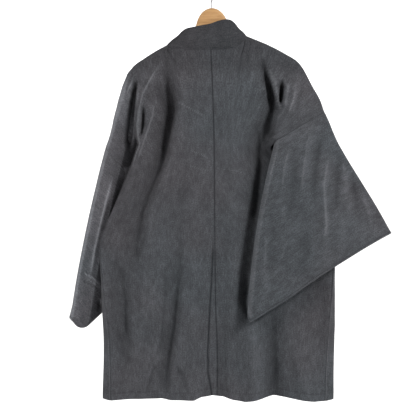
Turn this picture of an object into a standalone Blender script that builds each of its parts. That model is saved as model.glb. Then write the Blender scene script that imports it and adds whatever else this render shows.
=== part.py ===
"""A haori jacket hanging on a wooden hanger, seen with its back towards -Y.

Metres, +Z up, +X the wearer's right. The origin is the top of the inside of the hanger's hook, where a rail
or a nail carries it. Every cloth piece is one wall: a middle surface worked out below, thickened along its
normals. The right sleeve is folded over the back and the left sleeve over the front.
"""

import math

import bpy
import numpy as np

MM = 0.001

# Driving sizes, in millimetres
CLOTH = 1.4  # wall of one layer of cloth
LEAST_HALF = 0.5  # half of the wall where the cloth bends most tightly
SEAM_GAP = 0.35  # clearance between two sewn pieces
BACK_LENGTH = 858.0  # neck seam to hem
SLEEVE_LENGTH = 344.0  # armhole to cuff
SLEEVE_DEPTH = 412.0  # top fold to bottom seam
SLEEVE_FULLNESS = 7.0  # half of the space between the sleeve's two layers, with the cloth
FOLDED_FULLNESS = 4.0  # the same where a sleeve is folded back on itself
FOLD_RADIUS = 8.0  # of a sleeve that is folded over
ARMHOLE_HALF = 6.0  # half of the space between the layers at the armhole
SHOULDER_HALF = 8.8  # half of the space the cloth spans over the hanger's arm
COLLAR_WALL = 2.6  # collar band, folded double
HANGER_TILT = math.radians(2.5)  # the right end hangs higher
HOOK_RADIUS = 26.0  # of the hook's wire centre line
HOOK_WIRE = 2.0  # wire radius
HANGER_TOP = -78.0  # top of the wooden head
HOOK_SIDES = 10
HOOK_STATIONS = 30
BAND_CLEARANCE = 1.2  # added to the collar's seam beside the shoulder, where the band leaves the panel's plane
ARMHOLE_CLEARANCE = 0.4  # added at the armholes, where panel and sleeve bend together
GUSSET_CLEARANCE = 0.4  # added at the gussets' seams, where the panels lean

# Top line of the cloth over the hanger, before the tilt: distance from the middle, height
SHOULDER_LINE = ((83.5, -152.0), (115.0, -166.5), (142.0, -179.5), (180.0, -202.0), (215.0, -229.0))


def smooth(a):
    """0 below 0, 1 above 1, with a smooth step between them."""
    a = np.clip(a, 0.0, 1.0)
    return a * a * (3.0 - 2.0 * a)


def round_off(distance, half):
    """Rise of a round edge: 0 at its outermost point, half from there inwards."""
    a = np.clip(distance / half, 0.0, 1.0)
    return half * np.sqrt(1.0 - (1.0 - a) ** 2)


def tilted(x, z):
    """A point of the level hanger, turned about the hook to the tilt it hangs at."""
    c, s = math.cos(HANGER_TILT), math.sin(HANGER_TILT)
    return x * c - z * s, x * s + z * c


def spline(points, shares):
    """Points of a smooth curve through the given ones, at shares (0 to 1) of its length."""
    p = np.array(points, float)
    ends = np.vstack([2 * p[0] - p[1], p, 2 * p[-1] - p[-2]])
    a = np.linspace(0.0, 1.0, 16, endpoint=False)[:, None]
    dense = [
        0.5
        * (
            2 * p1
            + (p2 - p0) * a
            + (2 * p0 - 5 * p1 + 4 * p2 - p3) * a**2
            + (3 * p1 - p0 - 3 * p2 + p3) * a**3
        )
        for p0, p1, p2, p3 in zip(ends, ends[1:], ends[2:], ends[3:])
    ]
    dense = np.vstack(dense + [p[-1:]])
    length = np.concatenate([[0.0], np.cumsum(np.linalg.norm(np.diff(dense, axis=0), axis=1))])
    at = np.asarray(shares, float) * length[-1]
    return np.stack([np.interp(at, length, dense[:, k]) for k in range(p.shape[1])], axis=-1)


def path_distance(x, z, path):
    """Distance of each point from a line of straight stretches, and 1 on the right of a line drawn downwards,
    -1 on its left."""
    best = np.full(np.shape(x), 1e9)
    side = np.zeros(np.shape(x))
    for (x0, z0), (x1, z1) in zip(path, path[1:]):
        length = math.hypot(x1 - x0, z1 - z0)
        ux, uz = (x1 - x0) / length, (z1 - z0) / length
        along = np.clip((x - x0) * ux + (z - z0) * uz, 0.0, length)
        dx, dz = x - x0 - along * ux, z - z0 - along * uz
        d = np.hypot(dx, dz)
        side = np.where(d < best, np.sign(dz * ux - dx * uz), side)
        best = np.minimum(best, d)
    return best, side


def fold_depth(x, z, folds):
    """Sum of soft folds: each row is (rise towards the viewer, half width, path)."""
    total = np.zeros(np.shape(x))
    for rise, width, path in folds:
        distance, _ = path_distance(x, z, path)
        total += rise * np.exp(-((distance / width) ** 2))
    return total


# ---------------------------------------------------------------- meshes


def material(name, colour, roughness, metallic=0.0):
    made = bpy.data.materials.new(name)
    made.use_nodes = True
    made.diffuse_color = (*colour, 1.0)
    shader = made.node_tree.nodes["Principled BSDF"]
    shader.inputs["Base Color"].default_value = (*colour, 1.0)
    shader.inputs["Roughness"].default_value = roughness
    shader.inputs["Metallic"].default_value = metallic
    return made


def add_object(name, points, faces, finish):
    """A smooth-shaded mesh object from points in millimetres."""
    mesh = bpy.data.meshes.new(name)
    mesh.from_pydata((np.asarray(points) * MM).tolist(), [], [list(map(int, f)) for f in faces])
    mesh.materials.append(finish)
    mesh.shade_smooth()
    mesh.set_sharp_from_angle(angle=math.radians(50))
    made = bpy.data.objects.new(name, mesh)
    bpy.context.scene.collection.objects.link(made)
    return made


def grid_faces(index, closed_across=False):
    """Quads between neighbouring entries of a table of point numbers; -1 marks a place with no point."""
    rows, columns = index.shape
    faces = []
    for i in range(rows - 1):
        for j in range(columns if closed_across else columns - 1):
            k = (j + 1) % columns
            quad = (index[i, j], index[i, k], index[i + 1, k], index[i + 1, j])
            if min(quad) >= 0:
                faces.append(quad)
    return faces


def tube_faces(stations, around):
    """Faces of a closed bar whose sections, of so many points each, follow one another."""
    index = np.arange(stations * around).reshape(stations, around)
    faces = [f[::-1] for f in grid_faces(index, closed_across=True)]
    return faces + [tuple(index[0]), tuple(index[-1][::-1])]


def point_normals(points, faces):
    normals = np.zeros_like(points)
    f = np.array(faces)
    face_normals = np.cross(points[f[:, 2]] - points[f[:, 0]], points[f[:, 3]] - points[f[:, 1]])
    for corner in range(4):
        np.add.at(normals, f[:, corner], face_normals)
    return normals / np.linalg.norm(normals, axis=1, keepdims=True)


def bend_room(points, faces, normals, half):
    """Half of the wall at each point: less where it bends so tightly that its inner side would fold over."""
    f = np.array(faces)
    room = np.full(len(points), half)
    for a, b in zip(f.T, np.roll(f, -1, axis=1).T):
        along = points[b] - points[a]
        turned = np.abs(((normals[b] - normals[a]) * along).sum(axis=1))
        bend = turned / np.maximum((along**2).sum(axis=1), 1e-9)
        most = 0.7 / np.maximum(bend, 1e-9)
        np.minimum.at(room, a, most)
        np.minimum.at(room, b, most)
    return np.maximum(room, min(half, LEAST_HALF))


def wall(name, points, faces, thickness, finish, upright=()):
    """A closed solid: the middle surface moved half the thickness out and in, with its rims joined.
    The rim at the upright points keeps to one side of a seam that runs down the piece."""
    normals = point_normals(points, faces)
    upright = list(upright)
    normals[upright, 0] = 0.0
    normals /= np.linalg.norm(normals, axis=1, keepdims=True)
    half = bend_room(points, faces, normals, thickness / 2)[:, None]
    count = len(points)
    both = np.vstack([points + normals * half, points - normals * half])
    solid = [tuple(f) for f in faces] + [tuple(f[k] + count for k in (0, 3, 2, 1)) for f in faces]
    edges = {}
    for f in faces:
        for a, b in zip(f, (*f[1:], f[0])):
            edges[(a, b)] = edges.get((a, b), 0) + 1
    for a, b in edges:
        if (b, a) not in edges:
            solid.append((b, a, a + count, b + count))
    return add_object(name, both, solid, finish)


# ---------------------------------------------------------------- sleeves

# Each sleeve is a flat rectangle with one fold line across it. All that lies beyond the line, seen from the
# back, turns behind the rest. Corner, run and drop lie in the plane of the back: x, z.
SLEEVES = {
    "right": {
        "corner": (285.0, -338.0),  # top of the armhole
        "run": (0.477, -0.879),  # armhole to cuff
        "drop": (-0.85, -0.527),  # top fold to bottom seam
        "fold": ((170.0, -424.0), (103.0, -857.0)),
        "bow": 11.0,
        "corner_radius": 4.0,  # of the lower cuff corner
        "dip": 7.5,  # how far the top edge is drawn in past the armhole
        "cuff_bow": 7.0,  # how far the cuff edge is drawn in
        "flare": 0.0,  # how far the cuff stands out at its lower corner
        "sag": 0.0,  # how far the bottom seam drops at the cuff
        "armhole": 150.0,  # sewn length from the shoulder; the rest of it is out of sight under the fold
    },
    "left": {
        "corner": (-351.0, -334.0),
        "run": (-0.733, -0.68),
        "drop": (0.68, -0.733),
        "fold": ((-203.0, -268.0), (-338.5, -827.0)),
        "bow": 13.0,
        "corner_radius": 22.0,
        "dip": 0.0,
        "cuff_bow": 0.0,
        "flare": 15.0,
        "sag": 14.0,
        "armhole": 196.0,
    },
}


# Places of the columns and rows of a sleeve: from its top fold and its bottom seam, from its fold line, from
# its cuff
SEAM_COLUMNS = np.array([0.0, 1.2, 4.0, 9.0])
TURN_COLUMNS = np.array([-14.0, -4.0, 4.0, 10.0, 16.0, 22.0, 30.0, 42.0])
CUFF_ROWS = np.array([14.0, 6.0, 1.5, 0.0])


def hang_depth(x, z):
    """Where the middle of the left sleeve hangs behind the front of the body: y, in millimetres."""
    return 40.0 * smooth((-250.0 - z) / 240.0) + 7.0 * smooth((-478.0 - z) / 60.0)


def swing_depth(run, drop):
    """Where the middle of the right sleeve lies over the back."""
    return -2.0 - 18.0 * run / SLEEVE_LENGTH - 32.0 * smooth(drop / 150.0)


def fullness(side, run, drop, before):
    """Half of the space between the two layers, closing to nothing at the top fold and the bottom seam."""
    half = FOLDED_FULLNESS + (SLEEVE_FULLNESS - FOLDED_FULLNESS) * smooth((before + 12.0) / 30.0)
    seam_half = ARMHOLE_HALF - 2.5 * smooth((drop - SLEEVES[side]["armhole"] + 50.0) / 50.0)
    half = half + (np.minimum(half, seam_half) - half) * smooth(1.0 - run / 60.0)
    return np.minimum(round_off(drop, half * 1.0), round_off(SLEEVE_DEPTH - drop, half * 1.5))


def fold_frame(side, flat):
    """For flat points (x, z): distance along the fold line, distance before it, its bow there, and its two
    directions, along it and away from what is folded."""
    spec = SLEEVES[side]
    a, b = (np.array(p) for p in spec["fold"])
    length = np.linalg.norm(b - a)
    d = (b - a) / length
    n = np.array([-d[1], d[0]])
    along = (flat - a) @ d
    share = np.clip(along / length, 0.0, 1.0)
    bow = spec["bow"] * 4 * share * (1 - share)
    return along, (flat - a) @ n + bow, bow, d, n


def turn_over(side, flat, offset, middle=None):
    """Points off the middle surface by offset towards the front, all beyond the fold line turned behind."""
    along, before, bow, d, n = fold_frame(side, flat)
    turn = np.clip(-before / FOLD_RADIUS, 0.0, math.pi)
    arc = np.where(turn < math.pi, -FOLD_RADIUS * np.sin(turn), -before - math.pi * FOLD_RADIUS)
    across = np.where(before >= 0, before, arc) - bow
    place = np.array(SLEEVES[side]["fold"][0]) + np.multiply.outer(along, d) + across[..., None] * n
    side_step = offset * np.sin(turn)
    if middle is None:
        middle = hang_depth(place[..., 0], place[..., 1])
    return np.stack(
        [
            place[..., 0] + side_step * n[0],
            middle + FOLD_RADIUS * (1 - np.cos(turn)) + offset * np.cos(turn),
            place[..., 1] + side_step * n[1],
        ],
        axis=-1,
    )


def flat_sleeve(side, run, drop):
    """Points (x, z) of the sleeve before it is folded: a rectangle drawn in, let out and let down a little
    where it hangs so, its lower cuff corner rounded."""
    spec = SLEEVES[side]
    corner, u, w = (np.array(spec[k]) for k in ("corner", "run", "drop"))
    run, drop = np.broadcast_arrays(np.asarray(run, float), np.asarray(drop, float))
    radius = spec["corner_radius"]
    past = np.clip(run - (SLEEVE_LENGTH - radius), 0.0, radius)
    cut = (radius - np.sqrt(radius**2 - past**2)) * smooth((drop - SLEEVE_DEPTH + 110.0) / 110.0)
    dip = spec["dip"] * smooth(run / 90.0) * smooth((300.0 - run) / 210.0) * smooth(1.0 - drop / 160.0)
    drawn = spec["cuff_bow"] * smooth(run / SLEEVE_LENGTH) * np.sin(math.pi * np.clip(drop / 300.0, 0.0, 1.0))
    flared = spec["flare"] * smooth((run - 180.0) / 164.0) * smooth((drop - 230.0) / 120.0)
    let_down = spec["sag"] * smooth(run / 250.0) * drop / SLEEVE_DEPTH
    along, down = run - drawn + flared, drop - cut + dip + let_down
    return corner + np.multiply.outer(along, u) + np.multiply.outer(down, w)


def sleeve_layer(side, run, drop, layer):
    """Points of the back layer (layer 1) or the front layer (layer -1)."""
    run, drop = np.broadcast_arrays(np.asarray(run, float), np.asarray(drop, float))
    flat = flat_sleeve(side, run, drop)
    before = fold_frame(side, flat)[1]
    middle = swing_depth(run, drop) if side == "right" else None
    return turn_over(side, flat, -layer * fullness(side, run, drop, before), middle)


def fold_crossing(side, run):
    """How far down the sleeve its fold line is met, at a distance along it."""
    drops = np.linspace(0.0, SLEEVE_DEPTH, 400)
    before = fold_frame(side, flat_sleeve(side, np.full(400, run), drops))[1]
    past = before < 0 if side == "right" else before > 0
    return float(drops[np.argmax(past)]) if past.any() else SLEEVE_DEPTH


def spaced(places, gap):
    """The same rising places, moved where needed to keep a gap between neighbours; both ends stay."""
    places = np.maximum.accumulate(places)
    for j in range(len(places) - 2, 0, -1):
        places[j] = min(places[j], places[j + 1] - gap)
    for j in range(1, len(places) - 1):
        places[j] = max(places[j], places[j - 1] + gap * 0.5)
    return places


def sleeve(side, finish):
    """One closed tube of cloth, its rows across from the armhole to the cuff."""
    runs = np.concatenate([[SEAM_GAP], np.linspace(24.0, SLEEVE_LENGTH - 24.0, 11), SLEEVE_LENGTH - CUFF_ROWS])
    rows = []
    for run in runs:
        turn = fold_crossing(side, run)
        near_fold = turn + TURN_COLUMNS if side == "right" else turn - TURN_COLUMNS[::-1]
        inner = spaced(np.clip(near_fold, 24.0, SLEEVE_DEPTH - 24.0), 3.0)
        before = np.linspace(SEAM_COLUMNS[-1], inner[0], 5)[1:-1]
        after = np.linspace(inner[-1], SLEEVE_DEPTH - SEAM_COLUMNS[-1], 5)[1:-1]
        drops = np.concatenate([SEAM_COLUMNS, before, inner, after, SLEEVE_DEPTH - SEAM_COLUMNS[::-1]])
        drops = spaced(drops, 1.2)
        back = sleeve_layer(side, run, drops, 1.0)
        front = sleeve_layer(side, run, drops[1:-1][::-1], -1.0)
        rows.append(np.vstack([back, front]))
    points = np.array(rows)
    index = np.arange(points.shape[0] * points.shape[1]).reshape(points.shape[:2])
    faces = grid_faces(index, closed_across=True)
    return wall("sleeve_" + side, points.reshape(-1, 3), faces, CLOTH, finish)


# ---------------------------------------------------------------- body panels

# Main folds of the back: rise towards the viewer, half width, path through x, z
BACK_FOLDS = {
    "right": (
        (-20.0, 20.0, ((130, -222), (133, -285), (141, -360), (138, -434), (128, -558), (116, -680),
                       (104, -805))),
        (9.0, 9.0, ((147, -240), (160, -300), (168, -330))),
        (-9.0, 11.0, ((174, -268), (174, -320))),
        (7.0, 13.0, ((216, -250), (209, -300), (196, -350))),
        (17.0, 24.0, ((103, -860), (107, -1050))),
        (-15.0, 24.0, ((158, -880), (158, -1050))),
        (10.0, 34.0, ((255, -930), (258, -1050))),
        (-13.0, 14.0, ((22, -880), (24, -1050))),
    ),
    "left": (
        (-18.0, 13.0, ((-124, -242), (-98, -300), (-86, -340), (-92, -370), (-103, -430), (-125, -500))),
        (-9.0, 18.0, ((-125, -500), (-148, -550), (-163, -590))),
        (9.0, 12.0, ((-128, -222), (-148, -268), (-158, -300))),
        (-7.0, 10.0, ((-163, -332), (-165, -372), (-163, -408))),
        (-4.0, 17.0, ((-62, -450), (-68, -560), (-80, -680))),
        (-5.0, 15.0, ((-80, -650), (-76, -760), (-86, -905), (-108, -1000))),
        (-10.0, 22.0, ((-241, -690), (-222, -740), (-205, -860), (-208, -950))),
        (7.0, 18.0, ((-150, -940), (-176, -1020))),
        (6.0, 20.0, ((-40, -980), (-45, -1050))),
    ),
}
FRONT_FOLDS = {
    "right": (
        (7.0, 26.0, ((150, -420), (140, -700), (135, -1050))),
        (-8.0, 26.0, ((210, -560), (205, -800), (210, -1050))),
    ),
    "left": (
        (5.0, 26.0, ((-190, -700), (-195, -860), (-200, -1050))),
        (-6.0, 24.0, ((-125, -620), (-120, -820), (-118, -1050))),
    ),
}
PLEAT_LINE = ((8, -640), (7, -690), (4, -752), (-2, -855), (-6, -935), (-5, -985), (5, -1045))
PLEAT_DEPTH = 7.0
SEAM_DEPTH = ((-1043, 16), (-900, 17), (-760, 21), (-500, 26), (-186, 24))  # height, depth of the centre seam
# Where the back panel drops away: right, down from the sleeve's fold; left, down to the sleeve
FOLD_EDGE = {
    "right": ((173, -296), (173, -330), (163, -365), (156, -398), (152, -432)),
    "left": ((-168, -270), (-173, -306), (-183, -341), (-186, -373), (-183, -400), (-177, -420), (-187, -445),
             (-201, -481), (-222, -531)),
}
# Lines that the grid's columns follow, so that narrow folds keep their form
GUIDE = {
    "right": ((160, -175), *FOLD_EDGE["right"], (140, -480), (128, -558), (116, -680), (104, -805),
              (112, -1060)),
    "left": ((-160, -200), *FOLD_EDGE["left"], (-232, -590), (-246, -640), (-252, -700), (-238, -820),
             (-212, -1060)),
}
GUIDE_OFFSETS = (-7.0, -2.5, 2.5, 7.0)
INSIDE_COLUMNS = {"right": 7, "left": 3}  # between the neck and the guide line
COLUMN_GAP = 0.004  # least share of a row between neighbouring columns
NECK_COLUMNS = 7
OVER_COLUMNS = 17
# Rows down to the armhole's end, as shares of the sewn length
ARMHOLE_ROWS = {
    "right": np.array([0.14, 0.32, 0.50, 0.66, 0.80, 0.91, 1.0]),
    "left": np.array([0.12, 0.24, 0.36, 0.47, 0.55, 0.61, 0.66, 0.71, 0.76, 0.81, 0.88, 1.0]),
}
# Extra distance down the middle of the garment where the row that meets the armhole's end starts
ROW_LEAN = {"right": 64.0, "left": 0.0}
WRAP_OFFSETS = (-13.0, -2.0, 5.0, 12.0, 19.0, 26.0, 36.0)  # beyond the left sleeve's fold line
TURN_ROOM = 4.6  # most half space between the layers where the left shoulder turns over
BACK_DEPTH = 27.0
FRONT_DEPTH = 24.0

CENTRE_SEAM = ((2, -186), (7, -311), (10, -435), (11, -558), (12, -682), (14, -827), (17, -904), (18, -966),
               (17, -1043))
# Neck edge of the back, from the centre seam to just before the shoulder: x, y, z
NECK_BACK = {
    "right": ((2, -22, -186), (26, -22, -185.5), (48, -22, -183), (66, -20.5, -178.5), (79.5, -15.5, -168),
              (86.8, -9.3, -155.5), (89.4, -5.8, -150.6)),
    "left": ((2, -22, -186), (-27, -22, -186), (-54, -22, -185.5), (-78, -20.5, -184), (-96, -15, -181),
             (-105, -9.2, -176.5), (-107.1, -5.8, -173.6)),
}
COLLAR_LINE = {"right": ((88, -190), (84, -300), (72, -480), (66, -700), (64, -1040)),
               "left": ((-100, -215), (-92, -300), (-76, -480), (-68, -700), (-66, -1040))}
# Outer edge of each panel below the armhole: x, y, z
BACK_EDGE = {
    "right": ((151, -19, -427), (158, -8, -441), (188, -6, -468), (222, -7, -515), (262, -8, -575), (292, -9, -640),
              (305, -12, -700), (304, -17, -765), (295, -20, -873), (288, -22, -962), (285, -22, -1056)),
    "left": ((-214, 24, -494), (-219, 11, -520), (-243, 4, -580), (-262, 2, -630), (-273, -2, -670), (-270, -10, -735),
             (-262, -18, -812), (-252, -22, -885), (-248, -24, -950), (-246, -26, -1054)),
}
FRONT_EDGE = {
    "right": ((181, -16, -424), (200, 4, -438), (236, 20, -485), (270, 28, -560), (292, 30, -640), (305, 34, -700),
              (303, 38, -765), (296, 40, -873), (290, 42, -962), (288, 44, -1054)),
    "left": ((-206, 36, -485), (-202, 27, -498), (-214, 23, -524), (-243, 21, -580), (-260, 22, -630),
             (-270, 24, -670), (-268, 28, -735), (-262, 34, -812), (-254, 38, -885), (-250, 40, -950),
             (-249, 42, -1052)),
}
# Height of the hem along the back: the folds that come forward hang lower
HEM = ((-265, -1052.5), (-245, -1055), (-196, -1050.5), (-120, -1049), (-97, -1053), (-40, -1053), (-23, -1045),
       (5, -1041), (32, -1044), (57, -1052), (86, -1056), (118, -1050.5), (158, -1043), (186, -1045.5), (225, -1053),
       (258, -1057), (300, -1056))
EDGE_PART = 0.22  # share of a row over which the cloth turns from the panel's depth to its edge


def shoulder(side, shares):
    """The top line of one panel, from the neck to the top of the armhole: x, z before any fold."""
    sign = 1.0 if side == "right" else -1.0
    over = [tilted(sign * x, z) for x, z in SHOULDER_LINE[0 if side == "right" else 1 :]]
    past = ((257, -277), (274, -307)) if side == "right" else ((-245, -260), (-296, -295))
    return spline([*over, *past, SLEEVES[side]["corner"]], shares)


def back_depth(side, x, z):
    """How far the back lies towards the viewer from the hanger's plane."""
    depth = BACK_DEPTH + fold_depth(x, z, BACK_FOLDS[side])
    seam, line = np.array(SEAM_DEPTH, float), np.array(CENTRE_SEAM[::-1], float)
    from_seam = np.abs(x - np.interp(z, line[:, 1], line[:, 0]))
    depth += (np.interp(z, seam[:, 0], seam[:, 1]) - depth) * np.exp(-((from_seam / 14.0) ** 2))
    distance, where = path_distance(x, z, FOLD_EDGE[side])
    if side == "right":
        under = smooth((x - 114.0) / 30.0) * smooth((-404.0 - z) / 26.0) * smooth((z + 880.0) / 150.0)
        depth = depth + (9.0 - depth) * under
        corner, run = (np.array(SLEEVES[side][k]) for k in ("corner", "run"))
        past_armhole = (x - corner[0]) * run[0] + (z - corner[1]) * run[1]
        raised = smooth(0.5 + distance * where / 9.0) * smooth((-296.0 - z) / 40.0)
        raised = raised * smooth((6.0 - past_armhole) / 12.0)
        return depth + (39.0 - depth) * raised
    hung = ARMHOLE_HALF - hang_depth(x, z)
    lowered = smooth(0.5 - distance * where / 9.0) * smooth((-250.0 - z) / 40.0) * smooth((z + 560.0) / 40.0)
    pleat_distance, pleat_side = path_distance(x, z, PLEAT_LINE)
    width = np.where(pleat_side > 0, 16.0, 2.5)
    past = np.exp(-((pleat_distance / width) ** 2))
    depth = depth - PLEAT_DEPTH * past * smooth((-630.0 - z) / 90.0)
    return depth + (hung - depth) * lowered


def front_depth(side, x, z):
    """How far the front lies from the hanger's plane, away from the viewer of the back."""
    depth = FRONT_DEPTH + fold_depth(x, z, FRONT_FOLDS[side])
    if side == "right":
        return depth - 6.0 * smooth((z + 260.0) / 60.0)
    hung = ARMHOLE_HALF - 2.0 + hang_depth(x, z)
    depth = depth + (hung - depth) * smooth((-176.0 - x) / 34.0) * smooth((z + 500.0) / 30.0)
    under_fold = -x - 70.0 - (z + 400.0) * 0.5
    return np.minimum(depth, hung + 3.0 + 26.0 * smooth(1.0 - under_fold / 24.0))


def panel_rows(side):
    """Distances from the shoulder, close together over the hanger and round the armhole's end."""
    sewn = SLEEVES[side]["armhole"]
    near = np.concatenate([[0.0, 2.0, 5.5, 11.0], 11.0 + (sewn - 11.0) * ARMHOLE_ROWS[side]])
    far = np.concatenate([[sewn + 9.0, sewn + 22.0], np.linspace(sewn + 44.0, BACK_LENGTH, 11)])
    return np.concatenate([near, far])


def panel_row(row, inner, outer, top, share):
    """Points x, z of one row of a panel at shares of its width. The top rows follow the shoulder's curve."""
    length = np.concatenate([[0.0], np.cumsum(np.linalg.norm(np.diff(top, axis=0), axis=1))])
    on_top = np.stack([np.interp(share, length / length[-1], top[:, k]) for k in (0, 1)], axis=-1)
    swell = on_top - (top[0] + (top[-1] - top[0]) * share[:, None])
    keep = max(0.0, 1.0 - row / 0.30) ** 2
    flat = inner * (1 - share)[:, None] + outer * share[:, None] + keep * swell
    hem = np.array(HEM, float)
    level = np.interp(flat[:, 0], hem[:, 0], hem[:, 1])
    straight = level[0] + (level[-1] - level[0]) * share
    flat[:, 1] += (level - straight) * smooth((row - 0.75) / 0.25)
    return flat


def inner_rows(side):
    """Where each row starts at the middle of the garment, as shares of its length."""
    down = panel_rows(side)
    sewn = SLEEVES[side]["armhole"]
    lean = ROW_LEAN[side] * smooth(down / sewn) * smooth((sewn + 330.0 - down) / 330.0)
    return (down + lean) / BACK_LENGTH


def guided_shares(side, first, row, inner, outer, top):
    """Places of the columns along one row: some follow the guide line and, on the left, the sleeve's fold."""
    sign = 1.0 if side == "right" else -1.0
    dense = np.linspace(first, 1.0, 500)
    flat = panel_row(row, inner, outer, top, dense)
    distance, where = path_distance(flat[:, 0], flat[:, 1], GUIDE[side])
    held = np.interp(GUIDE_OFFSETS, np.maximum.accumulate(distance * where * sign), dense)
    if side == "left":
        beyond = np.maximum.accumulate(-fold_frame(side, flat)[1])
        held = np.concatenate([held, np.interp(WRAP_OFFSETS, beyond, dense)])
    inside = INSIDE_COLUMNS[side]
    outside = OVER_COLUMNS + 1 - inside - len(held)
    within = np.linspace(first, held[0], inside + 1)[:-1]
    return spaced(
        np.concatenate([within, held, np.linspace(held[-1], 1.0, outside + 1)[1:]]),
        COLUMN_GAP,
    )


def panel_grid(side, layer, neck, top, inner, edge, depth_at):
    """One layer of a panel, from the shoulder to the hem. Its first columns end at the neck; the others follow
    the panel's guide lines."""
    down = panel_rows(side)
    rows = down / BACK_LENGTH
    sewn = down <= SLEEVES[side]["armhole"] + 0.01
    outer = np.zeros((len(rows), 3))
    outer[sewn] = sleeve_layer(side, -SEAM_GAP - ARMHOLE_CLEARANCE, down[sewn], layer)
    free = (rows[~sewn] - rows[sewn][-1]) / (1.0 - rows[sewn][-1])
    outer[~sewn] = spline([outer[sewn][-1], *edge], free)
    flat_outer = outer[:, [0, 2]].copy()
    if side == "left":
        flat_outer[sewn] = flat_sleeve(side, np.full(sewn.sum(), -SEAM_GAP), down[sewn])
    length = np.concatenate([[0.0], np.cumsum(np.linalg.norm(np.diff(top, axis=0), axis=1))])
    neck_shares = length[: neck + 1] / length[-1]
    points = []
    for i, row in enumerate(rows):
        over = guided_shares(side, neck_shares[-1], row, inner[i], flat_outer[i], top)
        share = np.concatenate([neck_shares[:-1], over])
        flat = panel_row(row, inner[i], flat_outer[i], top, share)
        half = ARMHOLE_HALF + (SHOULDER_HALF - ARMHOLE_HALF) * smooth((0.80 - share) / 0.15)
        spread = depth_at(side, flat[:, 0], flat[:, 1])
        ramp = smooth((down[i] - 4.0) / 70.0)
        y = -layer * (round_off(down[i], half) + ramp * (spread - half))
        edge_y = outer[i, 1]
        if side == "left":
            near = hang_depth(flat[:, 0], flat[:, 1])
            before = fold_frame(side, flat)[1]
            y = y + near * (1 - ramp)
            if sewn[i]:
                edge_y = near[-1] - layer * fullness(side, 0.0, down[i], before[-1:])[0]
        to_edge = smooth((share - (1 - EDGE_PART)) / EDGE_PART)
        y = y * (1 - to_edge) + edge_y * to_edge
        row_points = np.stack([flat[:, 0], y, flat[:, 1]], axis=-1)
        if side == "left" and sewn[i]:
            room = TURN_ROOM + 0.8 * np.maximum(before, 0.0)
            off = np.clip(y - near, -room - 2.4, room)
            row_points[:, 1] = near + off
            row_points = np.where((before < 0)[:, None], turn_over(side, flat, off), row_points)
        row_points[-1] = outer[i]
        points.append(row_points)
    return np.array(points)


def body_grids(side):
    """The back and the front of one panel: points in rows from the shoulder to the hem."""
    neck = np.array(NECK_BACK[side], float)
    over = shoulder(side, np.linspace(0, 1, 30))
    sign = 1.0 if side == "right" else -1.0
    rows = inner_rows(side)
    seam = spline(CENTRE_SEAM, rows) + np.array([sign * SEAM_GAP / 2, 0.0])
    top = np.vstack([neck[:, [0, 2]], over])
    back = panel_grid(side, 1.0, NECK_COLUMNS, top, seam, BACK_EDGE[side], back_depth)
    for j, depth in enumerate(-neck[:, 1]):
        below = SHOULDER_HALF * (1.0 - math.sqrt(1.0 - min(1.0, depth / SHOULDER_HALF) ** 2))
        least = np.maximum(depth, round_off(panel_rows(side) + below, SHOULDER_HALF))
        back[:, j, 1] = np.minimum(back[:, j, 1], -least)
    line = spline([over[0], *COLLAR_LINE[side]], rows)
    return back, panel_grid(side, -1.0, 0, over, line, FRONT_EDGE[side], front_depth)


def body(side, back, front, finish):
    """One body panel: back, over the shoulder, and front, as one wall."""
    total = back.shape[0] * back.shape[1]
    back_index = np.arange(total).reshape(back.shape[:2])
    front_index = total + np.arange((front.shape[0] - 1) * front.shape[1]).reshape(-1, front.shape[1])
    front_index = np.vstack([back_index[0, NECK_COLUMNS:], front_index])
    faces = grid_faces(back_index) + [f[::-1] for f in grid_faces(front_index)]
    if side == "right":
        faces = [f[::-1] for f in faces]
    points = np.vstack([back.reshape(-1, 3), front[1:].reshape(-1, 3)])
    return wall("body_" + side, points, faces, CLOTH, finish, back_index[:, 0])


# ---------------------------------------------------------------- collar and gussets

# Free edge of the collar band: place, x, y, z. The place runs 0 to 1 up the left front, to 2 round the neck and
# to 3 down the right front
BAND_EDGE = (
    (0.0, -6, 30, -1043),
    (0.39, -9, 31, -703),
    (0.63, -20, 33, -486),
    (0.84, -38, 35, -306),
    (0.94, -60, 31, -214),
    (0.975, -76, 22, -178),
    (1.0, -85, 10, -154),
    (1.06, -77, -6, -146),
    (1.12, -69, -13, -139),
    (1.20, -58, -18, -132.5),
    (1.30, -42, -19.5, -129),
    (1.42, -22, -20, -125),
    (1.54, 0, -20, -121),
    (1.66, 22, -20, -113.5),
    (1.76, 40, -19.5, -110),
    (1.84, 52, -17, -112),
    (1.90, 62, -12, -119.5),
    (1.95, 69.5, -4, -128),
    (2.0, 76, 8, -135),
    (2.03, 72, 20, -150),
    (2.08, 60, 29, -182),
    (2.17, 40, 34, -300),
    (2.37, 18, 33, -484),
    (2.62, 8, 31, -703),
    (3.0, 5, 30, -1043),
)
BAND_COLUMNS = 4


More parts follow.
